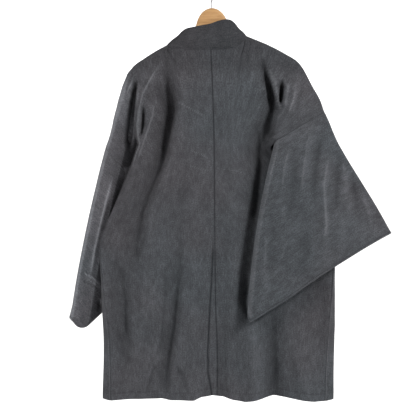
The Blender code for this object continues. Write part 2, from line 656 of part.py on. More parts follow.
def collar(grids, finish):
    """One band, folded double, sewn to both fronts and round the neck."""
    left_back, left_front = grids["left"]
    right_back, right_front = grids["right"]
    middle = (left_back[0, 0] + right_back[0, 0]) / 2
    neck = np.vstack([left_back[0, NECK_COLUMNS:0:-1], [middle], right_back[0, 1 : NECK_COLUMNS + 1]])
    seam = np.vstack([left_front[:0:-1, 0], neck, right_front[1:, 0]])
    length = np.concatenate([[0.0], np.cumsum(np.linalg.norm(np.diff(seam, axis=0), axis=1))])
    corners = [0, len(left_front) - 1, len(left_front) - 1 + 2 * NECK_COLUMNS, len(seam) - 1]
    place = np.interp(length, length[corners], [0.0, 1.0, 2.0, 3.0])
    dense = spline(np.array(BAND_EDGE, float), np.linspace(0, 1, 600))
    edge = np.stack([np.interp(place, dense[:, 0], dense[:, k]) for k in (1, 2, 3)], axis=-1)
    across = edge - seam
    width = np.linalg.norm(across, axis=1, keepdims=True)
    from_neck = np.minimum(*(np.linalg.norm(seam - grids[side][1][0, 0], axis=1) for side in ("left", "right")))
    apart = SEAM_GAP + BAND_CLEARANCE * (0.3 + 0.7 * np.exp(-((from_neck / 30.0) ** 2)))
    seam = seam + across / width * apart[:, None]
    steps = np.linspace(0.0, 1.0, BAND_COLUMNS)[None, :, None]
    points = seam[:, None] * (1 - steps) + edge[:, None] * steps
    index = np.arange(points.shape[0] * points.shape[1]).reshape(points.shape[:2])
    return wall("collar", points.reshape(-1, 3), grid_faces(index), COLLAR_WALL, finish)


GUSSET_TOP = -585.0
# How far each gusset swells beyond the panels' edges: height, distance
GUSSET_SWELL = {
    "right": ((-1043, 22), (-962, 20), (-873, 16), (-765, 8), (-700, 5), (-600, 0)),
    "left": ((-1043, 20), (-870, 12), (-760, 4), (-600, 1)),
}


def gusset(side, back, front, finish):
    """The narrow side piece between the back and the front, from below the armhole to the hem."""
    sign = 1.0 if side == "right" else -1.0
    back_edge, front_edge = back[:, -1], front[:, -1]
    kept = (back_edge[:, 2] < GUSSET_TOP) & (front_edge[:, 2] < GUSSET_TOP)
    back_edge, front_edge = back_edge[kept], front_edge[kept]
    swell = np.array(GUSSET_SWELL[side], float)
    out = np.interp(back_edge[:, 2], swell[:, 0], swell[:, 1])
    rows = []
    for share in np.linspace(0.0, 1.0, 6):
        row = back_edge * (1 - share) + front_edge * share
        row[:, 0] += sign * (CLOTH / 2 + SEAM_GAP + GUSSET_CLEARANCE + out * math.sin(math.pi * share))
        rows.append(row)
    points = np.array(rows)
    index = np.arange(points.shape[0] * points.shape[1]).reshape(points.shape[:2])
    faces = grid_faces(index)
    if side == "left":
        faces = [f[::-1] for f in faces]
    return wall("gusset_" + side, points.reshape(-1, 3), faces, CLOTH, finish)


# ---------------------------------------------------------------- hanger and hook

# Outline of the level hanger, mirrored about its middle: x, top, bottom, half thickness
HANGER_OUTLINE = (
    (0.0, -78.0, -178.0, 10.0),
    (6.0, -78.5, -178.0, 10.0),
    (12.0, -80.3, -178.0, 10.0),
    (18.0, -83.4, -178.0, 10.0),
    (24.0, -88.0, -178.0, 10.0),
    (29.0, -93.7, -178.0, 9.9),
    (33.0, -99.8, -178.0, 9.8),
    (36.5, -107.2, -178.2, 9.7),
    (39.3, -115.5, -178.5, 9.6),
    (41.6, -123.5, -178.7, 9.5),
    (44.0, -131.0, -179.0, 9.3),
    (52.0, -140.0, -180.0, 8.6),
    (66.0, -147.0, -182.5, 7.2),
    (83.5, -154.5, -187.0, 6.4),
    (115.0, -169.5, -199.0, 6.4),
    (142.0, -182.5, -211.0, 6.4),
    (172.0, -199.5, -226.0, 5.6),
    (190.0, -212.0, -236.0, 4.4),
    (201.0, -221.0, -239.5, 3.4),
    (206.0, -227.5, -239.0, 2.4),
)
SECTION_POINTS = 14
SECTION_POWER = 0.62  # below 1 squares the section off


def hanger(finish):
    """Shaped wooden hanger, cut from one board with its edges rounded over."""
    half = [row for row in HANGER_OUTLINE if row[0] > 0]
    stations = [(-x, *rest) for x, *rest in half[::-1]] + [HANGER_OUTLINE[0]] + half
    points = []
    for x, top, bottom, thick in stations:
        for k in range(SECTION_POINTS):
            a = 2 * math.pi * k / SECTION_POINTS
            up = math.copysign(abs(math.cos(a)) ** SECTION_POWER, math.cos(a))
            out = math.copysign(abs(math.sin(a)) ** SECTION_POWER, math.sin(a))
            x1, z1 = tilted(x, (top + bottom) / 2 + up * (top - bottom) / 2)
            points.append((x1, out * thick, z1))
    return add_object("hanger", points, tube_faces(len(stations), SECTION_POINTS), finish)


# The hook's wire: an arc over the rail, then an S down to the middle of the head: angle of the arc, degrees
HOOK_ARC = (200.0, -35.0)
HOOK_SHANK = ((14.0, -48.0), (5.0, -55.0), (0.8, -62.0), (0.0, -69.0))


def hook(finish):
    """Bent steel wire of round section."""
    start, end = (math.radians(v) for v in HOOK_ARC)
    arc = [
        (HOOK_RADIUS * math.cos(a), HOOK_RADIUS * math.sin(a) - HOOK_RADIUS + HOOK_WIRE)
        for a in np.linspace(start, end, 15)
    ]
    line = spline([*arc, *HOOK_SHANK, (0.0, HANGER_TOP + SEAM_GAP)], np.linspace(0.0, 1.0, HOOK_STATIONS))
    ahead = np.gradient(line, axis=0)
    ahead[-1] = (0.0, -1.0)
    ahead /= np.linalg.norm(ahead, axis=1, keepdims=True)
    points = []
    for (x, z), (dx, dz) in zip(line, ahead):
        for k in range(HOOK_SIDES):
            a = 2 * math.pi * k / HOOK_SIDES
            side_step, depth = HOOK_WIRE * math.cos(a), HOOK_WIRE * math.sin(a)
            x1, z1 = tilted(x - dz * side_step, z + dx * side_step)
            points.append((x1, depth, z1))
    return add_object("hook", points, tube_faces(len(line), HOOK_SIDES), finish)


def clear_scene():
    for made in list(bpy.data.objects):
        bpy.data.objects.remove(made, do_unlink=True)


def main():
    clear_scene()
    cloth = material("charcoal_cotton", (0.072, 0.074, 0.078), 0.95)
    wood = material("varnished_beech", (0.58, 0.35, 0.15), 0.35)
    steel = material("polished_steel", (0.62, 0.62, 0.62), 0.2, 1.0)
    grids = {side: body_grids(side) for side in ("left", "right")}
    for side in ("left", "right"):
        sleeve(side, cloth)
        body(side, *grids[side], cloth)
        gusset(side, *grids[side], cloth)
    collar(grids, cloth)
    hanger(wood)
    hook(steel)


main()
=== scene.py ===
"""Looks of a charcoal haori jacket on a wooden hanger: fine cloth shells on the forms of the solids."""

import math

import bpy
import numpy as np
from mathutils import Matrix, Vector


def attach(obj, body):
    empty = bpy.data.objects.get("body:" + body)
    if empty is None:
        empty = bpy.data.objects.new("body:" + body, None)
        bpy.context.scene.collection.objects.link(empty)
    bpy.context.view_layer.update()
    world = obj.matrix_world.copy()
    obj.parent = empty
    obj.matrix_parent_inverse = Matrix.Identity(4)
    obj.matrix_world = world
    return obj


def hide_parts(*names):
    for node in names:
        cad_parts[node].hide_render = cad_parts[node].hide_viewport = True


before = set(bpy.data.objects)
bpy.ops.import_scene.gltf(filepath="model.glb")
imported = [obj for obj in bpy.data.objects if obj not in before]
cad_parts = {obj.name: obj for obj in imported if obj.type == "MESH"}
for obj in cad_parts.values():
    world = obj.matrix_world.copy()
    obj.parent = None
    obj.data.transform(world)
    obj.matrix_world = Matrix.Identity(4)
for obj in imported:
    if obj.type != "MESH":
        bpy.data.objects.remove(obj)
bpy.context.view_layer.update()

MM = 0.001
SIGN = {"right": 1.0, "left": -1.0}

# Sizes in millimetres, as in the solids
SEAM_GAP = 0.35
BACK_LENGTH = 858.0
SLEEVE_LENGTH = 344.0
SLEEVE_DEPTH = 412.0
SLEEVE_FULLNESS = 7.0
FOLDED_FULLNESS = 4.0
FOLD_RADIUS = 8.0
ARMHOLE_HALF = 6.0
SHOULDER_HALF = 8.8
HANGER_TILT = math.radians(2.5)
ARMHOLE_CLEARANCE = 0.2
TURN_ROOM = 4.6
ROW_LEAN = {"right": 64.0, "left": 0.0}
GUSSET_CLEARANCE = 0.4
CLOTH = 1.2  # wall of the cloth shown
BAND = 2.2  # wall of the collar band shown
STEP = 3.3  # between neighbouring points of the cloth
FRONT_STEP = 6.2  # the same down the fronts
OVER_POINTS = 30  # points along the top line of each shoulder
PANEL_WIDTH = 340.0
COLLAR_WIDTH = 60.0
GUSSET_WIDTH = 64.0
HEM_TURN = 19.0  # depth of the turned-up hem, where its stitches show
CUFF_STITCH = 5.2  # from the cuff's edge to its stitches
UNDER = 1.9  # depth of a seam's allowance under the piece beside it
SEAM_TUCK = (8.0, 5.0, 2.0, 0.8)  # how far the left back reaches under the right one at the centre seam
EDGE_SOFTNESS = 9.0  # width over which the back panel drops away at its fold edge
SLEEVE_FOLD_SCALE = 2.0

# Painted light and shade laid into the cloth's colour, and the tone of some pieces
PAINTED_SHADE_PER_MM = 0.018  # painted light and shade: share by which folded cloth is painted paler for each millimetre that it stands out, and darker for each millimetre that it lies deep
NARROW_SHOWS = 2.4  # how much more the fine folds count in that
SLIT_PAINTED_DARKER = 0.045  # painted shade: share by which a slit is painted darker for each millimetre past the first four
# painted shade: share by which the back is painted darker near the neck
NECK_PAINTED_DARKER = 0.27
TONE_AND_PAINTED_LIGHT = {"collar": 0.64, "sleeve_left": 1.40, "sleeve_right": 1.06}  # against the back: the collar's cloth darker, the right sleeve a little paler, and painted light on the left sleeve

# Top line of the cloth over the hanger, before the tilt: distance from the middle, height
SHOULDER_LINE = ((83.5, -152), (115, -166.5), (142, -179.5), (180, -202), (215, -229))


def smooth(a):
    """0 below 0, 1 above 1, with a smooth step between them."""
    a = np.clip(a, 0.0, 1.0)
    return a * a * (3.0 - 2.0 * a)


def above(value, level, width):
    """0 up to a level, 1 from a width above it, smooth between."""
    return smooth((value - level) / width)


def below(value, level, width):
    """0 down to a level, 1 from a width below it, smooth between."""
    return smooth((level - value) / width)


def round_off(distance, half):
    """Rise of a round edge: 0 at its outermost point, half from there inwards."""
    a = np.clip(distance / half, 0.0, 1.0)
    return half * np.sqrt(1.0 - (1.0 - a) ** 2)


def tilted(x, z):
    """A point of the level hanger, turned about the hook to the tilt it hangs at."""
    c, s = math.cos(HANGER_TILT), math.sin(HANGER_TILT)
    return x * c - z * s, x * s + z * c


def lengths_along(points):
    """Length of the line through the points, up to each of them."""
    return np.concatenate([[0.0], np.cumsum(np.linalg.norm(np.diff(points, axis=0), axis=1))])


def unit(vectors):
    """The same directions, 1 long."""
    return vectors / np.maximum(np.linalg.norm(vectors, axis=-1, keepdims=True), 1e-9)


def stacked(*values):
    """Several tables of values side by side, as points of one table."""
    return np.stack(np.broadcast_arrays(*values), axis=-1)


def interpolate(at, places, rows):
    """Rows between those given for some places."""
    return stacked(*(np.interp(at, places, column) for column in np.transpose(rows)))


def read_off(table, at):
    """Values of a table of (place, value) at any places."""
    rows = np.array(table, float)
    return np.interp(at, rows[:, 0], rows[:, 1])


def between(a, b, shares):
    """Rows of points that lie at shares of the way from each point of a to its counterpart in b."""
    shares = shares[None, :, None]
    return a[:, None] * (1 - shares) + b[:, None] * shares


def groove(distance, width, depth):
    """Depth of a soft furrow at a distance from its middle."""
    return depth * np.exp(-((distance / width) ** 2))


def spline(points, shares):
    """Points of a smooth curve through the given ones, at shares (0 to 1) of its length."""
    p = np.array(points, float)
    ends = np.vstack([2 * p[0] - p[1], p, 2 * p[-1] - p[-2]])
    a = np.linspace(0.0, 1.0, 16, endpoint=False)[:, None]
    dense = [
        0.5 * (2 * p1 + (p2 - p0) * a + (2 * p0 - 5 * p1 + 4 * p2 - p3) * a**2
               + (3 * p1 - p0 - 3 * p2 + p3) * a**3)
        for p0, p1, p2, p3 in zip(ends, ends[1:], ends[2:], ends[3:])
    ]
    dense = np.vstack(dense + [p[-1:]])
    length = lengths_along(dense)
    return interpolate(np.asarray(shares, float) * length[-1], length, dense)


def nearest(x, z, path):
    """Distance of each point from a line of straight stretches, above 0 on the right of a line drawn
    downwards and below 0 on its left, and how far along the line its nearest place is."""
    best = np.full(np.shape(x), 1e9)
    right_of = np.zeros(np.shape(x))
    place = np.zeros(np.shape(x))
    start = 0.0
    for (x0, z0, *_), (x1, z1, *_) in zip(path, path[1:]):
        length = math.hypot(x1 - x0, z1 - z0)
        ux, uz = (x1 - x0) / length, (z1 - z0) / length
        along = np.clip((x - x0) * ux + (z - z0) * uz, 0.0, length)
        dx, dz = x - x0 - along * ux, z - z0 - along * uz
        distance = np.hypot(dx, dz)
        near = distance < best
        right_of = np.where(near, dz * ux - dx * uz, right_of)
        place = np.where(near, start + along, place)
        best = np.minimum(best, distance)
        start += length
    return np.where(right_of > 0, best, -best), place


def beyond_fold_edge(side, x, z):
    """1 on the outer side of the line where the back panel drops away, 0 on its inner side."""
    return smooth(0.5 + SIGN[side] * nearest(x, z, FOLD_EDGE[side])[0] / EDGE_SOFTNESS)


# Each sleeve is a flat rectangle with one fold line across it. All that lies beyond the line, seen from the
# back, turns behind the rest. Corner, run and drop lie in the plane of the back: x, z.
SLEEVES = {
    "right": {
        "corner": (285.0, -338.0),  # top of the armhole
        "run": (0.477, -0.879),  # armhole to cuff
        "drop": (-0.85, -0.527),  # top fold to bottom seam
        "fold": ((170.0, -424.0), (103.0, -857.0)),
        "bow": 11.0,
        "corner_radius": 4.0,  # of the lower cuff corner
        "dip": 7.5,  # how far the top edge is drawn in past the armhole
        "cuff_bow": 7.0,  # how far the cuff edge is drawn in
        "flare": 0.0,  # how far the cuff stands out at its lower corner
        "sag": 0.0,  # how far the bottom seam drops at the cuff
        "armhole": 150.0,  # sewn length from the shoulder; the rest of it is out of sight under the fold
    },
    "left": {
        "corner": (-351.0, -334.0),
        "run": (-0.733, -0.68),
        "drop": (0.68, -0.733),
        "fold": ((-203.0, -268.0), (-338.5, -827.0)),
        "bow": 13.0,
        "corner_radius": 22.0,
        "dip": 0.0,
        "cuff_bow": 0.0,
        "flare": 15.0,
        "sag": 14.0,
        "armhole": 196.0,
    },
}


def hang_depth(z):
    """Where the middle of the left sleeve hangs behind the front of the body: y, in millimetres."""
    return 40.0 * below(z, -250, 240) + 7.0 * below(z, -478, 60)


def swing_depth(run, drop):
    """Where the middle of the right sleeve lies over the back."""
    return -2.0 - 18.0 * run / SLEEVE_LENGTH - 32.0 * smooth(drop / 150.0)


def fullness(side, run, drop, before):
    """Half of the space between the two layers, closing to nothing at the top fold and the bottom seam."""
    half = FOLDED_FULLNESS + (SLEEVE_FULLNESS - FOLDED_FULLNESS) * above(before, -12, 30)
    seam_half = ARMHOLE_HALF - 2.5 * above(drop, SLEEVES[side]["armhole"] - 50, 50)
    half = half + (np.minimum(half, seam_half) - half) * smooth(1.0 - run / 60.0)
    return np.minimum(round_off(drop, half), round_off(SLEEVE_DEPTH - drop, half * 1.5))


def fold_frame(side, flat):
    """For flat points (x, z): distance along the fold line, distance before it, its bow there, and its two
    directions, along it and away from what is folded."""
    spec = SLEEVES[side]
    a, b = (np.array(p) for p in spec["fold"])
    length = np.linalg.norm(b - a)
    d = (b - a) / length
    n = np.array([-d[1], d[0]])
    along = (flat - a) @ d
    share = np.clip(along / length, 0.0, 1.0)
    bow = spec["bow"] * 4 * share * (1 - share)
    return along, (flat - a) @ n + bow, bow, d, n


def turn_over(side, flat, offset, middle=None):
    """Points off the middle surface by offset towards the front, all beyond the fold line turned behind."""
    along, before, bow, d, n = fold_frame(side, flat)
    turn = np.clip(-before / FOLD_RADIUS, 0.0, math.pi)
    arc = np.where(turn < math.pi, -FOLD_RADIUS * np.sin(turn), -before - math.pi * FOLD_RADIUS)
    across = np.where(before >= 0, before, arc) - bow
    place = np.array(SLEEVES[side]["fold"][0]) + np.multiply.outer(along, d) + across[..., None] * n
    side_step = offset * np.sin(turn)
    if middle is None:
        middle = hang_depth(place[..., 1])
    depth = middle + FOLD_RADIUS * (1 - np.cos(turn)) + offset * np.cos(turn)
    return stacked(place[..., 0] + side_step * n[0], depth, place[..., 1] + side_step * n[1])


def flat_sleeve(side, run, drop):
    """Points (x, z) of the sleeve before it is folded: a rectangle drawn in, let out and let down a little
    where it hangs so, its lower cuff corner rounded."""
    spec = SLEEVES[side]
    corner, u, w = (np.array(spec[k]) for k in ("corner", "run", "drop"))
    run, drop = np.broadcast_arrays(np.asarray(run, float), np.asarray(drop, float))
    radius = spec["corner_radius"]
    past = np.clip(run - (SLEEVE_LENGTH - radius), 0.0, radius)
    cut = (radius - np.sqrt(radius**2 - past**2)) * above(drop, SLEEVE_DEPTH - 110, 110)
    dip = spec["dip"] * smooth(run / 90.0) * below(run, 300, 210) * smooth(1.0 - drop / 160.0)
    drawn = spec["cuff_bow"] * smooth(run / SLEEVE_LENGTH) * np.sin(math.pi * np.clip(drop / 300.0, 0.0, 1.0))
    flared = spec["flare"] * above(run, 180, 164) * above(drop, 230, 120)
    let_down = spec["sag"] * smooth(run / 250.0) * drop / SLEEVE_DEPTH
    along, down = run - drawn + flared, drop - cut + dip + let_down
    return corner + np.multiply.outer(along, u) + np.multiply.outer(down, w)


def sleeve_layer(side, run, drop, layer):
    """Points of the back layer (layer 1) or the front layer (layer -1)."""
    run, drop = np.broadcast_arrays(np.asarray(run, float), np.asarray(drop, float))
    flat = flat_sleeve(side, run, drop)
    before = fold_frame(side, flat)[1]
    middle = swing_depth(run, drop) if side == "right" else None
    return turn_over(side, flat, -layer * fullness(side, run, drop, before), middle)


FRONT_FOLDS = {
    "right": (
        (7, 26, ((150, -420), (140, -700), (135, -1050))),
        (-8, 26, ((210, -560), (205, -800), (210, -1050))),
    ),
    "left": (
        (5, 26, ((-190, -700), (-195, -860), (-200, -1050))),
        (-6, 24, ((-125, -620), (-120, -820), (-118, -1050))),
    ),
}
PLEAT_LINE = ((8, -640), (7, -690), (4, -752), (-2, -855), (-6, -935), (-5, -985), (5, -1045))
PLEAT_DEPTH = 3.0
# Height, and how far the centre seam stands out there
SEAM_DEPTH = ((-1043, 16), (-900, 17), (-760, 21), (-500, 26), (-186, 24))
# Where the back panel drops away: right, down from the sleeve's fold; left, down to the sleeve
FOLD_EDGE = {
    "right": ((173, -296), (173, -330), (163, -365), (156, -398), (152, -432)),
    "left": ((-168, -270), (-173, -306), (-183, -341), (-186, -373), (-183, -400), (-177, -420), (-187, -445),
             (-201, -481), (-222, -531)),
}
BACK_DEPTH = 27.0
FRONT_DEPTH = 24.0
UNDER_SLEEVE_DEPTH = 9.0  # of the right side of the back, where the sleeve lies over it
BESIDE_ARMHOLE_DEPTH = 39.0  # of the same between the sleeve's fold and the armhole

CENTRE_SEAM = (
    (2, -186), (7, -311), (10, -435), (11, -558), (12, -682), (14, -827), (17, -904), (18, -966), (17, -1043),
)
# Neck edge of the back, from the centre seam to just before the shoulder: x, y, z
NECK_BACK = {
    "right": ((2, -22, -186), (26, -22, -185.5), (48, -22, -183), (66, -20.5, -178.5), (79.5, -15.5, -168),
              (86.8, -9.3, -155.5), (89.4, -5.8, -150.6)),
    "left": ((2, -22, -186), (-27, -22, -186), (-54, -22, -185.5), (-78, -20.5, -184), (-96, -15, -181),
             (-105, -9.2, -176.5), (-107.1, -5.8, -173.6)),
}
COLLAR_LINE = {
    "right": ((88, -190), (84, -300), (72, -480), (66, -700), (64, -1040)),
    "left": ((-100, -215), (-92, -300), (-76, -480), (-68, -700), (-66, -1040)),
}
# Outer edge of each panel below the armhole: x, y, z
BACK_EDGE = {
    "right": ((151, -19, -427), (158, -8, -441), (188, -6, -468), (222, -7, -515), (262, -8, -575),
              (292, -9, -640), (305, -12, -700), (304, -17, -765), (295, -20, -873), (288, -22, -962),
              (285, -22, -1056)),
    "left": ((-214, 24, -494), (-219, 11, -520), (-243, 4, -580), (-262, 2, -630), (-273, -2, -670),
             (-270, -10, -735), (-262, -18, -812), (-252, -22, -885), (-248, -24, -950), (-246, -26, -1054)),
}
FRONT_EDGE = {
    "right": ((181, -16, -424), (200, 4, -438), (236, 20, -485), (270, 28, -560), (292, 30, -640),
              (305, 34, -700), (303, 38, -765), (296, 40, -873), (290, 42, -962), (288, 44, -1054)),
    "left": ((-206, 36, -485), (-202, 27, -498), (-214, 23, -524), (-243, 21, -580), (-260, 22, -630),
             (-270, 24, -670), (-268, 28, -735), (-262, 34, -812), (-254, 38, -885), (-250, 40, -950),
             (-249, 42, -1052)),
}
# Height of the hem along the back: the folds that come forward hang lower
HEM = (
    (-265, -1052.5), (-245, -1055), (-196, -1050.5), (-120, -1049), (-97, -1053), (-40, -1053), (-23, -1045),
    (5, -1041), (32, -1044), (57, -1052), (86, -1056), (118, -1050.5), (158, -1043), (186, -1045.5),
    (225, -1053), (258, -1057), (300, -1056),
)
EDGE_PART = 0.22  # share of a row over which the cloth turns from the panel's depth to its edge


def shoulder(side, shares):
    """The top line of one panel, from the neck to the top of the armhole: x, z before any fold."""
    over = [tilted(SIGN[side] * x, z) for x, z in SHOULDER_LINE[0 if side == "right" else 1 :]]
    past = ((257, -277), (274, -307)) if side == "right" else ((-245, -260), (-296, -295))
    return spline([*over, *past, SLEEVES[side]["corner"]], shares)


def back_depth(side, x, z):
    """How far the back stands out from the hanger's plane."""
    seam_x = read_off([(height, across) for across, height in CENTRE_SEAM[::-1]], z)
    beside = groove(x - seam_x, 14.0, 1.0)
    depth = BACK_DEPTH + (read_off(SEAM_DEPTH, z) - BACK_DEPTH) * beside
    folds = main_depth(side, x, z) * (1.0 - beside)
    beyond = beyond_fold_edge(side, x, z)
    if side == "right":
        under = above(x, 114, 30) * below(z, -404, 26) * above(z, -880, 150)
        depth = depth + (UNDER_SLEEVE_DEPTH - depth) * under
        corner, run = (np.array(SLEEVES[side][k]) for k in ("corner", "run"))
        past_armhole = (x - corner[0]) * run[0] + (z - corner[1]) * run[1]
        raised = beyond * below(z, -296, 40) * below(past_armhole, 6, 12)
        return depth + (BESIDE_ARMHOLE_DEPTH - depth) * raised + folds * (1.0 - under)
    hung = ARMHOLE_HALF - hang_depth(z)
    lowered = beyond * below(z, -250, 40) * above(z, -560, 40)
    past_pleat = nearest(x, z, PLEAT_LINE)[0]
    pleat = groove(past_pleat, np.where(past_pleat > 0, 16.0, 2.5), PLEAT_DEPTH)
    depth = depth + folds - pleat * below(z, -630, 90)
    return depth + (hung - depth) * lowered


def front_depth(side, x, z):
    """How far the front stands out from the hanger's plane, the other way."""
    folds = (groove(nearest(x, z, path)[0], width, rise) for rise, width, path in FRONT_FOLDS[side])
    depth = FRONT_DEPTH + sum(folds)
    if side == "right":
        return depth - 6.0 * above(z, -260, 60)
    hung = ARMHOLE_HALF - 2.0 + hang_depth(z)
    depth = depth + (hung - depth) * below(x, -176, 34) * above(z, -500, 30)
    under_fold = -x - 70.0 - (z + 400.0) * 0.5
    return np.minimum(depth, hung + 3.0 + 26.0 * smooth(1.0 - under_fold / 24.0))


# ---------------------------------------------------------------- folds

# Main folds of the back, each with how soft its crest is (2 soft, 1 creased) and its stations: x, z, rise out
# of the back, half width on its left, half width on its right
MAIN_FOLDS = {
    "left": (
        (2, ((-118, -222, 0, 18, 12), (-107, -251, -14, 26, 14), (-97, -281, -25, 36, 12),
             (-90, -310, -30, 36, 9), (-88, -332, -32, 36, 8), (-94, -360, -32, 34, 8),
             (-103, -400, -30, 30, 8), (-111, -444, -24, 26, 9), (-123, -482, -20, 28, 9),
             (-138, -515, -19, 32, 9), (-152, -548, -18, 38, 9), (-164, -585, -17, 42, 9),
             (-172, -620, -15, 42, 10), (-180, -660, -12, 40, 12), (-192, -720, -7, 32, 12),
             (-205, -780, 0, 24, 12))),
        (1.3, ((-110, -198, 0, 5, 8), (-129, -226, 6, 5, 9), (-149, -261, 9, 5, 10), (-164, -290, 9, 5, 10),
               (-176, -318, 4, 5, 8), (-182, -332, 0, 5, 8))),
        (2, ((-166, -322, 0, 5, 6), (-167, -345, -15, 6, 7), (-168, -372, -15, 6, 7), (-170, -392, -8, 5, 6),
             (-176, -410, 0, 5, 5))),
        (1.4, ((-150, -318, 0, 6, 6), (-139, -330, 5, 6, 7), (-142, -350, 5, 7, 7), (-156, -392, 6, 8, 12),
               (-172, -440, 6, 8, 14), (-196, -500, 5, 8, 16), (-216, -560, 3, 8, 16),
               (-236, -620, 0, 8, 16))),
        (2, ((-63, -430, 0, 10, 6), (-63, -480, -3, 14, 7), (-67, -530, -4, 18, 8), (-73, -580, -5, 20, 9),
             (-79, -660, -5, 20, 10), (-77, -740, -7, 18, 8), (-78, -780, -12, 20, 7),
             (-84, -850, -14, 22, 7), (-94, -920, -15, 22, 7), (-108, -1000, -12, 20, 8),
             (-114, -1056, -3, 20, 9))),
        (1.8, ((-98, -760, 0, 10, 10), (-110, -840, 3, 13, 13), (-128, -920, 3, 15, 14),
               (-150, -950, 4, 16, 14), (-166, -990, 5, 16, 14), (-178, -1040, 3, 16, 16))),
        (1.6, ((-90, -960, 0, 7, 7), (-76, -985, -7, 7, 7), (-66, -1010, -4, 7, 7), (-60, -1035, 0, 7, 7))),
        (2, ((-243, -672, 0, 12, 10), (-236, -710, -9, 16, 12), (-222, -750, -12, 20, 13),
             (-210, -810, -13, 22, 13), (-207, -870, -16, 17, 10), (-208, -930, -8, 20, 14),
             (-214, -980, 0, 20, 14))),
        (2, ((-40, -980, 2, 20, 20), (-45, -1050, 6, 20, 20))),
    ),
    "right": (
        (2, ((128, -196, 0, 14, 12), (136, -230, -16, 15, 11), (152, -280, -26, 17, 9),
             (156, -330, -28, 24, 9), (150, -390, -24, 36, 11), (131, -440, -24, 34, 14),
             (121, -540, -20, 30, 12), (109, -660, -16, 28, 10), (97, -740, -14, 24, 10),
             (88, -800, -9, 18, 10), (86, -860, -4, 14, 12), (90, -900, 0, 14, 14))),
        (1.3, ((126, -192, 0, 6, 6), (150, -205, 4, 6, 7), (185, -214, 5, 6, 8), (222, -218, 5, 6, 8))),
        (1.25, ((222, -216, 4, 5, 10), (214, -262, 10, 5, 12), (208, -304, 10, 5, 12), (196, -338, 6, 6, 11),
                (180, -362, 0, 6, 10))),
        (1.4, ((148, -228, 0, 5, 6), (150, -242, 8, 5, 8), (162, -285, 9, 5, 8), (172, -324, 8, 5, 6),
               (178, -345, 0, 5, 6))),
        (1.8, ((181, -256, 0, 6, 6), (178, -276, -24, 10, 8), (176, -306, -26, 9, 7), (176, -332, -10, 6, 5),
               (176, -345, 0, 5, 5))),
        (1.8, ((124, -200, 0, 8, 4), (134, -225, -9, 10, 4), (148, -262, -14, 12, 4), (160, -300, -15, 11, 4),
               (169, -330, -13, 9, 4), (172, -350, 0, 8, 4))),
        (2, ((236, -262, 0, 8, 8), (224, -300, -6, 8, 8), (212, -340, -4, 8, 8), (200, -372, 0, 8, 8))),
        (2, ((92, -750, 0, 10, 7), (90, -785, -13, 13, 8), (88, -815, -9, 11, 7), (96, -840, -12, 9, 7),
             (94, -868, 0, 9, 7))),
        (2, ((100, -850, 0, 16, 20), (104, -900, 14, 20, 22), (107, -1050, 16, 22, 24))),
        (2, ((158, -870, 0, 20, 20), (158, -930, -12, 22, 22), (158, -1050, -16, 24, 24))),
        (2, ((255, -880, 0, 26, 26), (256, -950, 8, 32, 30), (258, -1050, 10, 34, 30))),
        (2, ((20, -860, 0, 12, 12), (22, -900, -9, 14, 14), (24, -1050, -13, 14, 14))),
    ),
}

# Folds and press creases too fine for the solids: rise, half width on the left and on the right of the path,
# path through x, z. They fade out at both ends
FINE_BACK = {
    "right": (
        (4, 6, 6, ((196, -262), (190, -300), (182, -330))),
        (2.5, 6, 6, ((246, -282), (236, -318), (224, -345))),
        (-1.4, 5, 5, ((150, -380), (158, -396), (168, -400))),
        (-4, 10, 6, ((112, -360), (122, -420), (120, -470))),
        (2, 7, 9, ((112, -850), (107, -940), (106, -1040))),
        (2, 9, 11, ((134, -890), (134, -960), (134, -1040))),
        (-2, 12, 12, ((208, -880), (206, -960), (208, -1040))),
        (2, 12, 12, ((232, -860), (228, -960), (226, -1040))),
        (-2.5, 9, 12, ((280, -760), (276, -880), (272, -1030))),
        (0.9, 1.6, 1.6, ((12, -480), (60, -486), (110, -500))),
        (1.6, 9, 12, ((58, -260), (62, -420), (60, -600), (66, -900))),
        (-1.8, 9, 9, ((36, -560), (40, -760), (38, -1000))),
        (3, 9, 14, ((178, -800), (190, -880), (214, -960), (236, -1030))),
        (-3, 12, 9, ((150, -820), (158, -900), (164, -980), (166, -1040))),
        (-7, 4, 5, ((179, -262), (177, -290), (177, -322))),
        (-7, 10, 10, ((132, -430), (124, -490), (118, -550), (110, -620))),
    ),
    "left": (
        (3, 6, 6, ((-138, -300), (-128, -330), (-124, -372))),
        (1.2, 1.7, 1.7, ((-99, -306), (-62, -325), (-22, -347), (2, -355))),
        (1, 1.7, 1.7, ((-57, -432), (-26, -444), (4, -458))),
        (0.9, 1.7, 1.7, ((-60, -471), (-28, -480), (8, -489))),
        (2, 10, 10, ((-36, -560), (-40, -760), (-34, -1000))),
        (2, 12, 9, ((-140, -560), (-150, -700), (-146, -860))),
        (-2, 10, 10, ((-178, -610), (-182, -760), (-178, -900))),
        (-1.6, 9, 9, ((-50, -220), (-44, -300), (-46, -400))),
        (-4, 4, 8, ((-107, -720), (-109, -781), (-115, -850), (-121, -905), (-134, -960))),
        (3, 8, 12, ((-122, -730), (-146, -808), (-176, -900), (-203, -994))),
        (-3.5, 8, 10, ((-252, -740), (-246, -807), (-237, -860), (-222, -920), (-204, -985))),
        (-3, 3, 8, ((-134, -960), (-146, -990), (-152, -1030))),
        (-16, 8, 7, ((-178, -240), (-189, -285), (-195, -335), (-201, -384), (-206, -440))),
    ),
}
